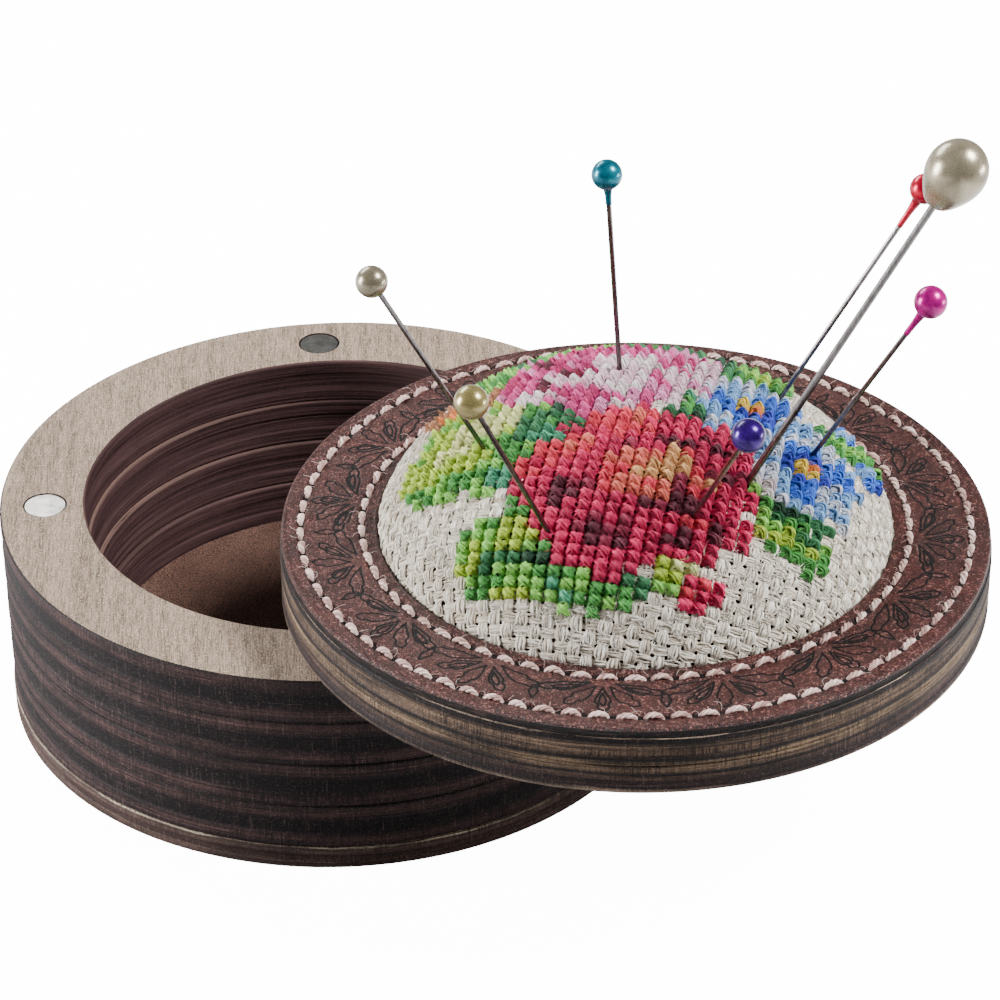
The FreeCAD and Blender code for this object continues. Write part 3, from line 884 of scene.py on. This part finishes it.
def measure_pad(piece):
    """How far the pad's surface stands off the dome, on a grid of arc lengths and bearings."""
    tree = BVHTree.FromObject(piece, bpy.context.evaluated_depsgraph_get())
    above, reach = 3.0, 8.0
    bearings = TURN * np.arange(BEARINGS) / BEARINGS
    height = np.zeros((ARCS, BEARINGS))
    for i, s in enumerate(np.linspace(0, ARC, ARCS)):
        point, normal = dome_point(np.full(BEARINGS, s), bearings, above)
        for j in range(BEARINGS):
            origin = Vector((point[j] + (LID_X, LID_Y, 0)) * MM)
            hit = tree.ray_cast(origin, Vector(-normal[j]), reach * MM)
            height[i, j] = above - hit[3] / MM if hit[0] else 0.0
    height[0] = height[0].mean()
    height = np.clip(height, -1.5, 0.2)
    for _ in range(2):
        height = (height + np.roll(height, 1, 1) + np.roll(height, -1, 1)) / 3
    return height


pad = make_pad()
pad_height = measure_pad(pad)
pad_mean = np.median(pad_height)


def ride_height(s, phi):
    """How far the cloth stands off its mean height here, from the puffed pad."""
    i = np.clip(s / ARC * (ARCS - 1), 0, ARCS - 1.001)
    j = (phi / TURN % 1) * BEARINGS
    i0, j0 = i.astype(int), j.astype(int) % BEARINGS
    fi, fj = i - i0, j - np.floor(j)
    j1 = (j0 + 1) % BEARINGS
    low = pad_height[i0, j0] * (1 - fj) + pad_height[i0, j1] * fj
    high = pad_height[i0 + 1, j0] * (1 - fj) + pad_height[i0 + 1, j1] * fj
    return np.clip(low * (1 - fi) + high * fi - pad_mean, -0.35, 0.12)


def flat_place(u, v):
    """The weave's own coordinates, turned to the lid's, as arc lengths from the crown."""
    turn = WEAVE_TURN + WEAVE_DRIFT * u
    return u * np.cos(turn) - v * np.sin(turn), u * np.sin(turn) + v * np.cos(turn)


def on_cloth(u, v, lift):
    """A point of the weave on the dome, with its normal and its arc length."""
    x, y = flat_place(u, v)
    s, phi = np.hypot(x, y), np.arctan2(y, x)
    rim = np.clip((s - ARC + 5.0) / 5.0, 0, 1)
    point, normal = dome_point(s, phi, lift - SINK + ride_height(s, phi) + 0.42 * rim * rim)
    return point, normal, s


# ---------------------------------------------------------------- embroidery

# Each floss: its colour in display steps, and the shade that some of its stitches take instead
FLOSS = {
    "maroon": (82, 0, 34, "wine"), "wine": (122, 2, 50, "crimson"), "crimson": (176, 4, 72, "red"),
    "red": (212, 14, 82, "crimson"), "coral": (224, 52, 72, "red"), "salmon": (232, 98, 84, "coral"),
    "peach": (230, 150, 100, "salmon"), "blush": (255, 226, 230, "pale_pink"),
    "pale_pink": (246, 176, 196, "blush"), "mid_pink": (226, 124, 162, "rose"),
    "rose": (202, 66, 122, "mid_pink"), "deep_rose": (156, 28, 86, "rose"), "lime": (162, 196, 62, "leaf"),
    "pale_lime": (210, 220, 134, "lime"), "leaf": (118, 180, 76, "green"), "green": (64, 138, 58, "leaf"),
    "deep_green": (36, 100, 58, "green"), "dark_green": (20, 66, 40, "deep_green"),
    "sea_green": (62, 140, 104, "green"), "sky": (208, 222, 250, "mid_blue"),
    "mid_blue": (118, 158, 236, "sky"), "blue": (54, 98, 214, "mid_blue"), "navy": (32, 50, 158, "blue"),
    "amber": (230, 168, 62, "orange"), "orange": (222, 108, 52, "amber"), "brown": (142, 94, 62, "orange"),
}
# The design, painted in this order as ovals: floss, middle x and y, half sizes, turn in degrees. The unit is
# about a stitch, x to the right and y to the back of the open lid, from the crown.
DESIGN = [
    # leaves under the flowers
    ("green", -3.0, 13.6, 5.0, 2.6, 10), ("deep_green", 3.5, 14.2, 4.0, 2.4, -20),
    ("leaf", -2.0, 14.6, 2.6, 1.4, 10), ("green", -9.2, 9.8, 2.8, 3.2, 20),
    ("leaf", -9.4, 10.2, 1.6, 2.4, 20), ("deep_green", -7.2, 11.6, 1.2, 1.2, 0),
    ("brown", -14.6, 6.4, 1.5, 2.1, 25), ("orange", -14.2, 5.4, 0.8, 0.9, 0),
    ("brown", -10.7, 5.4, 1.1, 1.4, 0), ("green", 10.0, 7.6, 3.9, 3.4, 20),
    ("leaf", 10.6, 8.2, 2.8, 1.9, 25), ("lime", 11.0, 7.0, 1.6, 1.0, 20),
    ("deep_green", 7.6, 6.6, 1.1, 2.4, 0), ("dark_green", 7.4, 9.2, 1.0, 1.4, 0),
    ("green", 15.2, -0.2, 3.1, 1.5, 12), ("deep_green", 13.6, -0.4, 1.5, 1.0, 0),
    ("leaf", 16.6, 0.7, 1.4, 0.8, 20), ("green", 19.3, 1.4, 1.4, 2.0, -20),
    ("blue", 18.9, -1.4, 1.4, 1.5, 60), ("navy", 19.3, -2.0, 0.8, 0.8, 0), ("blue", 16.8, 2.6, 1.2, 1.0, 0),
    ("mid_blue", 17.6, 3.2, 0.9, 0.7, 0),
    # left leaf
    ("green", -10.6, -1.4, 7.5, 4.9, -12), ("leaf", -14.4, -1.6, 4.0, 3.9, 10),
    ("lime", -15.0, 0.0, 3.6, 3.2, 20), ("lime", -14.0, 2.9, 3.0, 1.9, 10),
    ("leaf", -11.4, -4.7, 4.4, 2.1, -18), ("sea_green", -9.8, -5.9, 2.6, 1.0, -15),
    ("green", -13.6, -4.3, 1.8, 1.0, -20), ("lime", -12.6, -2.6, 2.6, 1.2, -10),
    ("pale_lime", -10.8, 1.2, 3.4, 1.7, 0), ("pale_lime", -13.6, -0.2, 2.0, 1.1, 10),
    ("lime", -9.4, 3.2, 1.6, 1.0, -10), ("lime", -8.8, -0.8, 1.2, 0.7, 0),
    ("green", -9.2, -3.2, 1.6, 1.6, 0), ("deep_green", -6.4, -1.2, 2.7, 2.4, 20),
    ("sea_green", -6.2, -2.8, 2.2, 1.3, 0), ("dark_green", -5.2, 0.6, 1.1, 1.2, 0),
    ("green", -7.4, 0.9, 1.2, 0.8, 0),
    # lower leaf
    ("green", -7.6, -13.4, 8.0, 3.7, -30), ("leaf", -9.0, -9.9, 3.1, 1.9, 0),
    ("green", -7.8, -9.2, 1.5, 1.1, 0), ("lime", -11.0, -11.0, 3.2, 1.6, 8),
    ("lime", -13.8, -12.2, 2.0, 1.0, -20), ("leaf", -10.0, -15.3, 4.6, 1.3, -22),
    ("lime", -11.6, -15.2, 1.8, 0.7, -22), ("deep_green", -11.2, -12.8, 2.6, 0.6, -14),
    ("dark_green", -7.6, -14.0, 2.8, 0.6, -16), ("green", -6.2, -13.3, 1.4, 1.0, 0),
    ("sea_green", -6.4, -16.2, 2.0, 1.3, -10), ("leaf", -5.8, -16.4, 1.2, 0.9, 0),
    ("deep_green", -2.8, -16.5, 2.8, 1.3, -20), ("dark_green", -3.4, -15.8, 2.6, 0.7, -20),
    ("green", -4.2, -16.9, 0.9, 0.6, 0),
    # right leaf
    ("green", 10.4, -11.2, 4.0, 2.9, -35), ("green", 12.6, -13.2, 0.9, 1.5, 10),
    ("lime", 9.5, -11.9, 2.2, 1.5, -10), ("leaf", 8.6, -10.6, 1.6, 1.0, 0),
    ("deep_green", 12.4, -9.8, 2.0, 1.5, -30), ("dark_green", 10.4, -9.6, 1.2, 0.7, 0),
    ("deep_green", 10.8, -11.3, 2.4, 0.4, -20), ("lime", 11.8, -13.0, 0.8, 1.0, 0),
    # leaves between the flowers
    ("deep_green", 3.9, -1.0, 2.1, 3.0, 20), ("dark_green", 4.8, -2.8, 1.2, 1.4, 0),
    ("green", 3.2, 1.2, 1.3, 1.4, 0), ("sea_green", 4.5, 0.8, 0.9, 1.3, 0), ("leaf", 3.6, 0.2, 0.6, 0.8, 0),
    # upper blue flower
    ("mid_blue", 8.7, 0.7, 4.3, 4.0, 0), ("sky", 8.4, 4.0, 2.6, 1.0, 0),
    ("mid_blue", 10.8, 3.2, 1.6, 1.0, -20), ("sky", 5.6, 1.6, 1.1, 1.6, 10),
    ("sky", 5.9, -1.9, 1.3, 1.5, -20), ("blue", 7.0, 1.0, 1.5, 1.6, 0), ("blue", 10.6, 1.6, 1.6, 1.6, 0),
    ("blue", 8.9, -1.8, 2.2, 1.1, 0), ("navy", 8.8, 0.5, 1.9, 1.6, 0),
    ("mid_blue", 11.9, -0.9, 1.1, 1.3, 0), ("amber", 8.8, 0.7, 1.1, 0.9, 0),
    ("orange", 8.4, -0.1, 0.7, 0.5, 0),
    # lower blue flower
    ("mid_blue", 12.4, -5.4, 4.6, 4.3, 0), ("blue", 14.6, -4.8, 2.0, 2.2, 0),
    ("sky", 14.8, -8.0, 2.0, 1.4, -20), ("sky", 9.2, -7.4, 1.4, 2.2, 15), ("blush", 8.8, -8.2, 0.8, 1.0, 0),
    ("sky", 10.4, -3.4, 1.5, 1.1, 20), ("sky", 14.3, -2.2, 1.4, 1.7, 10), ("blue", 12.4, -3.6, 1.4, 1.2, 0),
    ("blue", 11.6, -7.6, 1.4, 1.3, 0), ("mid_blue", 15.6, -6.2, 1.2, 1.2, 0),
    ("navy", 12.2, -5.4, 1.9, 1.7, 0), ("amber", 12.2, -5.2, 1.1, 0.9, 0),
    ("orange", 12.7, -6.0, 0.6, 0.5, 0),
    # pale rose
    ("mid_pink", -1.2, 6.2, 8.3, 6.3, 0), ("mid_pink", -2.2, -0.6, 2.6, 1.9, 0),
    ("rose", -7.8, 4.8, 2.6, 2.8, 20), ("pale_pink", -0.4, 3.6, 4.6, 4.6, 0),
    ("pale_pink", -7.2, 2.8, 1.5, 0.9, -20), ("pale_pink", -4.6, 5.2, 1.9, 1.5, 40),
    ("blush", -0.6, 5.6, 2.8, 1.4, 10), ("blush", 1.0, 7.4, 1.6, 1.2, 0),
    ("rose", -3.4, 1.7, 2.5, 1.5, -15), ("deep_rose", -3.7, 1.6, 1.7, 1.0, -15),
    ("deep_rose", -8.3, 6.4, 1.5, 1.2, 30), ("maroon", -6.6, 4.2, 0.9, 0.8, 0),
    ("maroon", -4.5, 6.2, 1.0, 1.0, 0), ("deep_rose", -3.6, 6.6, 1.2, 0.9, 0),
    ("deep_rose", -5.8, 8.8, 1.5, 1.8, 15), ("maroon", -6.3, 9.2, 0.7, 0.9, 0),
    ("rose", -2.2, 9.4, 2.6, 1.5, 0), ("pale_pink", -1.4, 8.2, 1.6, 0.8, 0),
    ("rose", 3.6, 7.2, 1.5, 2.2, 15), ("deep_rose", 4.3, 6.9, 1.0, 1.4, 10),
    ("maroon", 3.9, 6.0, 0.6, 0.7, 0), ("pale_pink", 5.6, 5.6, 1.5, 2.4, -10),
    ("blush", 5.2, 4.2, 1.1, 1.3, -20), ("rose", 1.6, 10.4, 2.8, 1.2, -5),
    ("deep_rose", -1.0, 11.8, 4.0, 1.0, 0), ("mid_pink", 0.6, 1.4, 1.6, 1.4, 0),
    ("rose", 1.8, 3.4, 0.9, 1.2, 0), ("rose", -4.2, -0.2, 0.9, 1.1, 0), ("blush", -1.9, -1.2, 1.2, 0.9, 0),
    ("pale_pink", 0.2, -0.4, 1.4, 0.8, 0), ("blush", -0.4, 2.2, 1.2, 0.8, 0),
    # red rose
    ("crimson", -0.6, -8.6, 8.5, 7.3, 0), ("crimson", 1.4, -12.2, 6.0, 3.7, 5),
    ("crimson", -3.4, -13.0, 4.8, 3.2, -15), ("crimson", 5.6, -6.0, 2.6, 3.0, 0),
    ("red", 0.4, -3.3, 4.6, 2.6, -12), ("coral", -0.6, -2.5, 3.3, 1.5, -12),
    ("salmon", 0.4, -1.9, 1.4, 0.6, -10), ("crimson", 3.3, -4.0, 1.7, 1.2, -35),
    ("maroon", 2.2, -4.9, 1.7, 0.6, -10), ("wine", -1.4, -4.8, 1.0, 0.5, 0),
    ("red", -6.4, -6.6, 3.5, 3.0, 5), ("coral", -6.4, -4.7, 2.9, 1.3, 8),
    ("salmon", -5.4, -4.1, 1.7, 0.8, 5), ("coral", -8.4, -6.2, 0.9, 1.3, 0),
    ("crimson", -4.2, -7.0, 1.2, 2.4, 0), ("maroon", -6.3, -8.7, 0.9, 1.2, 0),
    ("wine", -5.0, -8.2, 0.7, 1.6, 0), ("red", -8.2, -8.6, 1.2, 1.2, 0), ("coral", 0.4, -7.9, 3.9, 2.7, 0),
    ("salmon", -0.6, -6.4, 2.0, 1.0, 0), ("salmon", -1.6, -9.0, 1.2, 1.2, 0),
    ("peach", 1.7, -7.6, 2.3, 1.9, -30), ("salmon", 1.0, -9.6, 1.4, 0.7, 0),
    ("peach", 4.0, -9.0, 0.8, 0.9, 0), ("wine", 2.5, -8.9, 0.8, 0.7, 0), ("wine", 5.8, -7.8, 1.5, 1.5, 0),
    ("maroon", 5.4, -8.0, 0.8, 0.8, 0), ("maroon", 5.2, -5.2, 1.1, 0.6, -40),
    ("wine", 6.6, -6.0, 0.9, 1.0, 0), ("red", 6.4, -4.4, 1.1, 0.9, 0), ("maroon", 1.8, -11.0, 2.4, 0.9, -5),
    ("maroon", -3.3, -12.8, 2.0, 1.1, -8), ("wine", -1.6, -11.6, 1.0, 0.9, 0),
    ("wine", -4.6, -11.2, 1.2, 0.8, 0), ("maroon", 1.8, -13.7, 1.6, 0.7, 0),
    ("maroon", 4.6, -12.8, 1.0, 1.1, 10), ("coral", 2.8, -12.2, 1.0, 0.6, 0),
    ("red", 4.2, -10.6, 1.1, 0.7, 0), ("red", -6.8, -12.8, 1.6, 1.0, -35),
    ("red", -2.6, -15.0, 2.0, 0.6, -8), ("red", 3.8, -15.1, 1.4, 0.6, 5), ("red", 6.6, -12.2, 0.7, 1.5, 0),
    ("red", -1.0, -13.2, 0.9, 0.9, 0),
    # bud
    ("lime", 1.6, -16.5, 1.9, 1.1, -20), ("pale_lime", 2.2, -16.1, 0.9, 0.8, -20),
    ("leaf", 0.6, -17.2, 0.8, 0.6, 0), ("red", 3.2, -17.9, 1.8, 1.2, -5),
    ("coral", 2.8, -17.3, 0.9, 0.7, 0), ("crimson", 4.4, -17.3, 0.7, 0.9, 0),
]
STITCH_UNIT = 1.59                # the design's unit
RAGGED = 0.26                     # how ragged the ovals' edges are
SWAPPED = 0.24                    # the share of stitches in a neighbouring shade
BARE_RIM = 1.2                    # no stitch lies this near the dome's foot

half_cells = int(ARC / min(COLUMN, ROW)) + 2
cells = np.arange(-half_cells, half_cells)
column, row = [a.ravel() for a in np.meshgrid(cells, cells)]
centre_x, centre_y = flat_place((column + 0.5) * COLUMN, (row + 0.5) * ROW)
shades = list(FLOSS)
shade_of = np.full(len(column), -1)
ragged = draw.uniform(-RAGGED, RAGGED, len(column))
for shade, x, y, a, b, turn in DESIGN:
    c, s = math.cos(math.radians(turn)), math.sin(math.radians(turn))
    dx, dy = centre_x / STITCH_UNIT - x, centre_y / STITCH_UNIT - y
    inside = ((dx * c + dy * s) / a) ** 2 + ((dy * c - dx * s) / b) ** 2 < 1 + ragged
    shade_of[inside] = shades.index(shade)
shade_of[np.hypot(centre_x, centre_y) > ARC - BARE_RIM] = -1
swap = (draw.uniform(0, 1, len(column)) < SWAPPED) & (shade_of >= 0)
shade_of[swap] = [shades.index(FLOSS[shades[k]][3]) for k in shade_of[swap]]
stitched = {(int(i), int(j)) for i, j, k in zip(column, row, shade_of) if k >= 0}


def stray(u, v, steps, size=(0.7, 1.5), low=0.45, high=0.55):
    """Loose fibres that start at these points of the weave and curl over it."""
    t = np.linspace(0, 1, steps)
    count = len(u)
    turn = draw.uniform(0, TURN, (count, 1)) + draw.normal(0, 1.3, (count, 1)) * t
    step = draw.uniform(*size, (count, 1)) / steps
    lift = low + high * draw.uniform(0.2, 1, (count, 1)) * np.sin(2.6 * t)
    run_u, run_v = np.cumsum(np.cos(turn) * step, 1), np.cumsum(np.sin(turn) * step, 1)
    return on_cloth(u[:, None] + run_u, v[:, None] + run_v, lift)[:2]


STRANDS = 6                       # in each leg of a cross stitch


def leg_strand(u0, v0, leg, strand, t):
    """One strand of every stitch's first or second leg, from the corners at u0 and v0."""
    count, apart, end_depth = len(u0), 0.172, 0.46
    arch = np.sin(math.pi * t)
    side = (strand - (STRANDS - 1) / 2) * apart + draw.normal(0, 0.06, count)
    bow = side[:, None] * arch ** 0.6 * (1 - 0.40 * arch ** 5)
    bow = bow + draw.normal(0, 0.02, bow.shape)
    along = 0.02 + 0.96 * t
    across = 1 - along if leg else along
    run_u, run_v = (-COLUMN, ROW) if leg else (COLUMN, ROW)
    size = math.hypot(run_u, run_v)
    u = u0[:, None] + COLUMN * across - bow * run_v / size
    v = v0[:, None] + ROW * along + bow * run_u / size
    top = 0.54 - 0.12 * abs(strand - (STRANDS - 1) / 2) + draw.normal(0, 0.11, count)
    lift = -end_depth + (top[:, None] + end_depth) * arch ** 0.9
    lift = lift + (0.30 if leg else -0.10) * arch ** 3
    return on_cloth(u, v, lift + SINK - 0.1)[:2]


def make_floss(name, cells):
    """Every cross stitch in one floss: two legs corner to corner of soft strands, and a few stray fibres.
    cells are the stitches' columns and rows."""
    steps, soft, fibre, sides = 9, 0.112, 0.03, 6
    t = np.linspace(0, 1, steps)
    count = len(cells)
    start = np.array(cells, float)
    u0 = start[:, 0] * COLUMN + draw.normal(0, 0.05, count)
    v0 = start[:, 1] * ROW + draw.normal(0, 0.05, count)
    parts = [leg_strand(u0, v0, leg, strand, t) for leg in (0, 1) for strand in range(STRANDS)]
    legs = len(parts) * count
    for _ in range(3):
        stray_u = u0 + COLUMN * draw.uniform(0.1, 0.9, count)
        stray_v = v0 + ROW * draw.uniform(0.1, 0.9, count)
        parts.append(stray(stray_u, stray_v, steps))
    paths = np.concatenate([points for points, _ in parts])
    ups = np.concatenate([normals for _, normals in parts])
    thick = soft * (0.7 + 0.3 * np.sin(math.pi * t) ** 0.5)
    thick = np.broadcast_to(thick, paths.shape[:2]) * draw.uniform(0.8, 1.2, (len(paths), 1))
    thick[legs:] = fibre
    tone = np.tile(draw.uniform(0, 1, count), len(parts)) * 0.35 + draw.uniform(0, 0.65, len(paths))
    colour = linear(*FLOSS[name][:3])
    grey = sum(colour[:3]) / 3
    colour = tuple(max(0.0, grey + 1.06 * (c - grey)) for c in colour[:3]) + (1.0,)
    # The floss's pale and deep colours are its painted highlight and painted shade.
    material = thread("floss_" + name, colour, shaded(colour, 2.0, 0.06), shaded(colour, 0.2), 9, 0.25, 0.55)
    make_threads("floss_" + name, material, tubes(paths, ups, thick, thick, sides), tone)


for index, shade in enumerate(shades):
    cells = [(int(i), int(j)) for i, j, k in zip(column, row, shade_of) if k == index]
    if cells:
        make_floss(shade, cells)


def shown_cells():
    """Where the weave shows, by column and row, and the index of cell 0. A cell's weave is left out where
    it and all its neighbours are stitched."""
    origin = half_cells + 4
    shown = np.full((2 * origin, 2 * origin), True)
    for i, j in stitched:
        around = [(i + a, j + b) in stitched for a in (-1, 0, 1) for b in (-1, 0, 1)]
        shown[i + origin, j + origin] = not all(around)
    return shown, origin


def make_weave(name, across_first):
    """The weave's threads one way, in bundles that go over and under the bundles the other way, made as
    two pieces. They are two pieces, because one would be too large to export whole."""
    pitch, other = (COLUMN, ROW) if across_first else (ROW, COLUMN)
    threads, apart, thick = (6, 0.245, 0.140) if across_first else (5, 0.25, 0.134)
    bundles = int((ARC + 2) / pitch) + 1
    per_cell, sides = 5, 5
    cells = int((ARC + 2) / other) + 1
    steps = 2 * cells * per_cell + 1
    along = (np.arange(steps) / per_cell - cells) * other
    starts, parity = [], []
    for bundle in range(-bundles, bundles):
        for k in range(threads):
            starts.append((bundle + 0.5) * pitch + (k - (threads - 1) / 2) * apart + draw.normal(0, 0.04))
            parity.append(bundle)
    starts, parity = np.array(starts), np.array(parity)
    phase = along / other
    sign = 1.0 if across_first else -1.0
    wave = np.where((parity % 2 == 0)[:, None], 1.0, -1.0) * np.sin(math.pi * phase)[None] * sign
    pinch = 1 - 0.27 * np.cos(math.pi * phase)[None] ** 6
    drift = np.cumsum(draw.normal(0, 0.035, (len(starts), steps)), axis=1)
    drift -= (np.roll(drift, 6, axis=1) + np.roll(drift, -6, axis=1)) / 2
    middle = (parity + 0.5)[:, None] * pitch
    position = middle + (starts[:, None] - middle) * pinch + np.clip(drift, -0.16, 0.16)
    length = np.broadcast_to(along, position.shape)
    height, rise = (0.19, 0.04) if across_first else (0.10, -0.02)
    lift = height * np.sign(wave) * np.abs(wave) ** 0.7 + rise
    lift = lift + draw.normal(0, 0.03, (len(starts), 1)) + draw.normal(0, 0.02, position.shape)
    u, v = (position, length) if across_first else (length, position)
    point, normal, s = on_cloth(u, v, lift + SINK - 0.38)
    keep = s < ARC + 1.2
    shown, origin = shown_cells()
    keep &= shown[np.floor(u / COLUMN).astype(int) + origin, np.floor(v / ROW).astype(int) + origin]
    each = (len(starts), 1)
    slub = 1 + 0.22 * np.sin(length * draw.uniform(0.2, 1.4, each) + draw.uniform(0, TURN, each))
    width = thick * slub * draw.uniform(0.75, 1.2, each)
    tone = draw.uniform(0, 1, len(starts)) * (1.0 if across_first else 0.7)
    for half, chosen in enumerate(np.array_split(np.arange(len(starts)), 2)):
        wide = width[chosen]
        made = tubes(point[chosen], normal[chosen], wide, wide * 0.9, sides, keep[chosen], caps=False)
        make_threads("%s_%d" % (name, half + 1), linen_thread, made, tone[chosen])


make_weave("linen_warp", True)
make_weave("linen_weft", False)

bare = np.array([(i, j) for i, j, k in zip(column, row, shade_of) if k < 0], float)
bare = bare[np.hypot(*flat_place(bare[:, 0] * COLUMN, bare[:, 1] * ROW)) < ARC - 2.0]
fibres = 5                        # in each bare cell
bare = np.repeat(bare, fibres, axis=0) + draw.uniform(0, 1, (fibres * len(bare), 2))
paths, ups = stray(bare[:, 0] * COLUMN, bare[:, 1] * ROW, 7, (0.8, 2.6), 0.22, 0.30)
made = tubes(paths, ups, 0.04, 0.04, 4)
make_threads("linen_fibres", linen_thread, made, draw.uniform(0.3, 1.0, len(bare)))

# ---------------------------------------------------------------- pins

steel = pin_metal()
PINS = {
    # name: (bead's radius, neck's length, kind of paint, slot, its light and dark colours)
    "grey_pearl": (1.8, 0.0, pearl, "pearl_grey", (134, 125, 106), (102, 94, 76)),
    "cream_pearl": (1.9, 0.0, pearl, "pearl_cream", (142, 130, 82), (110, 98, 58)),
    "teal": (1.75, 2.5, lacquer, "bead_teal", (8, 100, 116), (2, 68, 86)),
    "blue": (1.85, 0.0, lacquer, "bead_blue", (48, 0, 104), (24, 0, 66)),
    "red": (1.75, 4.0, lacquer, "bead_red", (178, 6, 44), (126, 2, 26)),
    "magenta": (1.85, 4.0, lacquer, "bead_magenta", (170, 0, 118), (118, 0, 84)),
    "teardrop": (3.3, 0.0, pearl, "pearl_teardrop", (152, 142, 120), (120, 110, 90)),
}
DROP_ABOVE, DROP_BELOW = 3.6, 5.05    # the teardrop's heights above and below its widest part
WIRE = 0.36                           # the beads' opening round the shank


def ball_rows(radius, start):
    """A ball's outline from an angle up to its pole, as (radius, height) rows from its centre."""
    rows = [(radius * math.cos(t), radius * math.sin(t)) for t in np.linspace(start, math.pi / 2, 48)]
    return rows[:-1] + [(0.0, radius)]


def round_bead(radius):
    """A ball with a small dent round its shank."""
    start = -math.acos(0.45 / radius)
    low = radius * math.sin(start)
    return [(0.0, low + 0.06), (WIRE, low + 0.02)] + ball_rows(radius, start + 0.02)


def necked_bead(radius, neck):
    """A ball on a neck that flares into it."""
    start = -math.acos(0.62 / radius)
    foot = radius * math.sin(start) - neck
    rows = [(0.0, foot), (WIRE - 0.03, foot), (WIRE, foot + 0.08)]
    rows += [(WIRE + 0.27 * t ** 3, foot + neck * t) for t in np.linspace(0.08, 1, 12)]
    return rows + ball_rows(radius, start + 0.06)


def teardrop_bead(radius):
    """A drop that narrows towards its shank, with a blunt tip."""
    tip, belly = [(0.0, -4.9), (0.5, -4.96), (0.95, -4.8)], []
    for t in np.linspace(-1.32, math.pi / 2, 60):
        taper = 1 - 0.10 * math.sin(-2 * t) ** 2 if t < 0 else 1
        height = (DROP_ABOVE if t > 0 else DROP_BELOW) * math.sin(t)
        if height > -4.75:
            belly.append((radius * math.cos(t) * taper, height))
    return tip + belly[:-1] + [(0.0, DROP_ABOVE)]


for name, (radius, neck, paint, slot, light, dark) in PINS.items():
    axis = next(unit(np.array(j["axis"], float)) for j in frame["joints"] if j["name"] == name + "_pull")
    shank, head = node_points(name + "_shank"), node_points(name + "_head")
    on_line = shank[np.argmin(shank @ axis)]
    rows = necked_bead(radius, neck) if neck else round_bead(radius)
    if name == "teardrop":
        rows = teardrop_bead(radius)
    centre = on_line + axis * ((head @ axis).max() - rows[-1][1] - on_line @ axis)
    points, faces = axle(rows, 64, centre, axis)
    material = paint(slot, linear(*light), linear(*dark))
    bead = make_piece(name + "_bead", points, faces, name + "_pin", material)
    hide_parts(name + "_head")
    dress(name + "_shank", steel)

# ---------------------------------------------------------------- stage

BACKDROP = 14.0                       # how bright floor and world are to the camera
FLOOR_LIGHT, WORLD_LIGHT = 0.05, 0.17     # and how bright as lights
BANDS_LIGHT = 2.0                     # how bright the floor's two bands are in mirror reflections


def make_floor():
    """A white floor. Two bands of it show in glossy reflections alone, for the pins."""
    size = 3.0
    corners = [(-size, -size, 0), (size, -size, 0), (size, size, 0), (-size, size, 0)]
    mesh = bpy.data.meshes.new("studio_floor")
    mesh.from_pydata(corners, [], [(0, 1, 2, 3)])
    floor = add_object("studio_floor", mesh)
    floor.location.z = -0.02 * MM
    s = Shader("studio_floor", Base_Color=(0.5, 0.5, 0.5, 1), Roughness=0.9, Specular_IOR_Level=0.1,
               Emission_Color=(1, 1, 1, 1))
    seen = s.math("MULTIPLY", s.node("LightPath", {}, "Is Camera Ray"), BACKDROP)
    across = s.math("ADD", s.math("DIVIDE", s.part(s.place(), 0), 600), 0.5)
    bands = s.ramp(across, (0.22, 0.5), (0.34, 0.0), (0.61, 0.0), (0.66, 1.0), (0.80, 1.0), (0.86, 0.0))
    glossy = s.node("LightPath", {}, "Is Glossy Ray")
    mirrored = s.math("MULTIPLY", glossy, s.math("MULTIPLY", bands, BANDS_LIGHT))
    s.wear(Emission_Strength=s.math("ADD", seen, s.math("ADD", mirrored, FLOOR_LIGHT)))
    mesh.materials.append(s.material)


def make_world():
    """A white world, brighter to the camera than it is as a light, so that the backdrop is clean."""
    world = bpy.data.worlds.new("studio")
    bpy.context.scene.world = world
    world.use_nodes = True
    tree = world.node_tree
    background = tree.nodes["Background"]
    background.inputs["Color"].default_value = (1.0, 1.0, 1.0, 1)
    span = tree.nodes.new("ShaderNodeMapRange")
    span.inputs["To Min"].default_value, span.inputs["To Max"].default_value = WORLD_LIGHT, BACKDROP
    tree.links.new(tree.nodes.new("ShaderNodeLightPath").outputs["Is Camera Ray"], span.inputs["Value"])
    tree.links.new(span.outputs["Result"], background.inputs["Strength"])


def make_lamp(name, place, size, power, target=(0.02, -0.01, 0.03)):
    light = bpy.data.lights.new(name, "AREA")
    light.shape, light.size, light.size_y, light.energy = "RECTANGLE", size[0], size[1], power
    lamp = add_object(name, light)
    lamp.location = place
    lamp.rotation_euler = (Vector(target) - Vector(place)).to_track_quat("-Z", "Y").to_euler()


def make_camera():
    data = bpy.data.cameras.new("camera")
    data.lens, data.sensor_width = 128.26, 36.0
    camera = add_object("camera", data)
    camera.location = (0.0, -0.37393, 0.26420)
    degrees = (57.347, 0.442, -3.410)
    camera.rotation_euler = [math.radians(d) for d in degrees]
    bpy.context.scene.camera = camera


make_floor()
make_world()
make_lamp("key", (0.43, -0.10, 0.55), (0.22, 0.22), 11.5)
make_lamp("left", (-0.62, -0.01, 0.17), (0.20, 0.30), 13.0)
make_lamp("back", (-0.34, 0.58, 0.47), (0.5, 0.25), 6.5)
make_lamp("right", (0.60, -0.04, 0.04), (0.20, 0.06), 2.0)
make_camera()
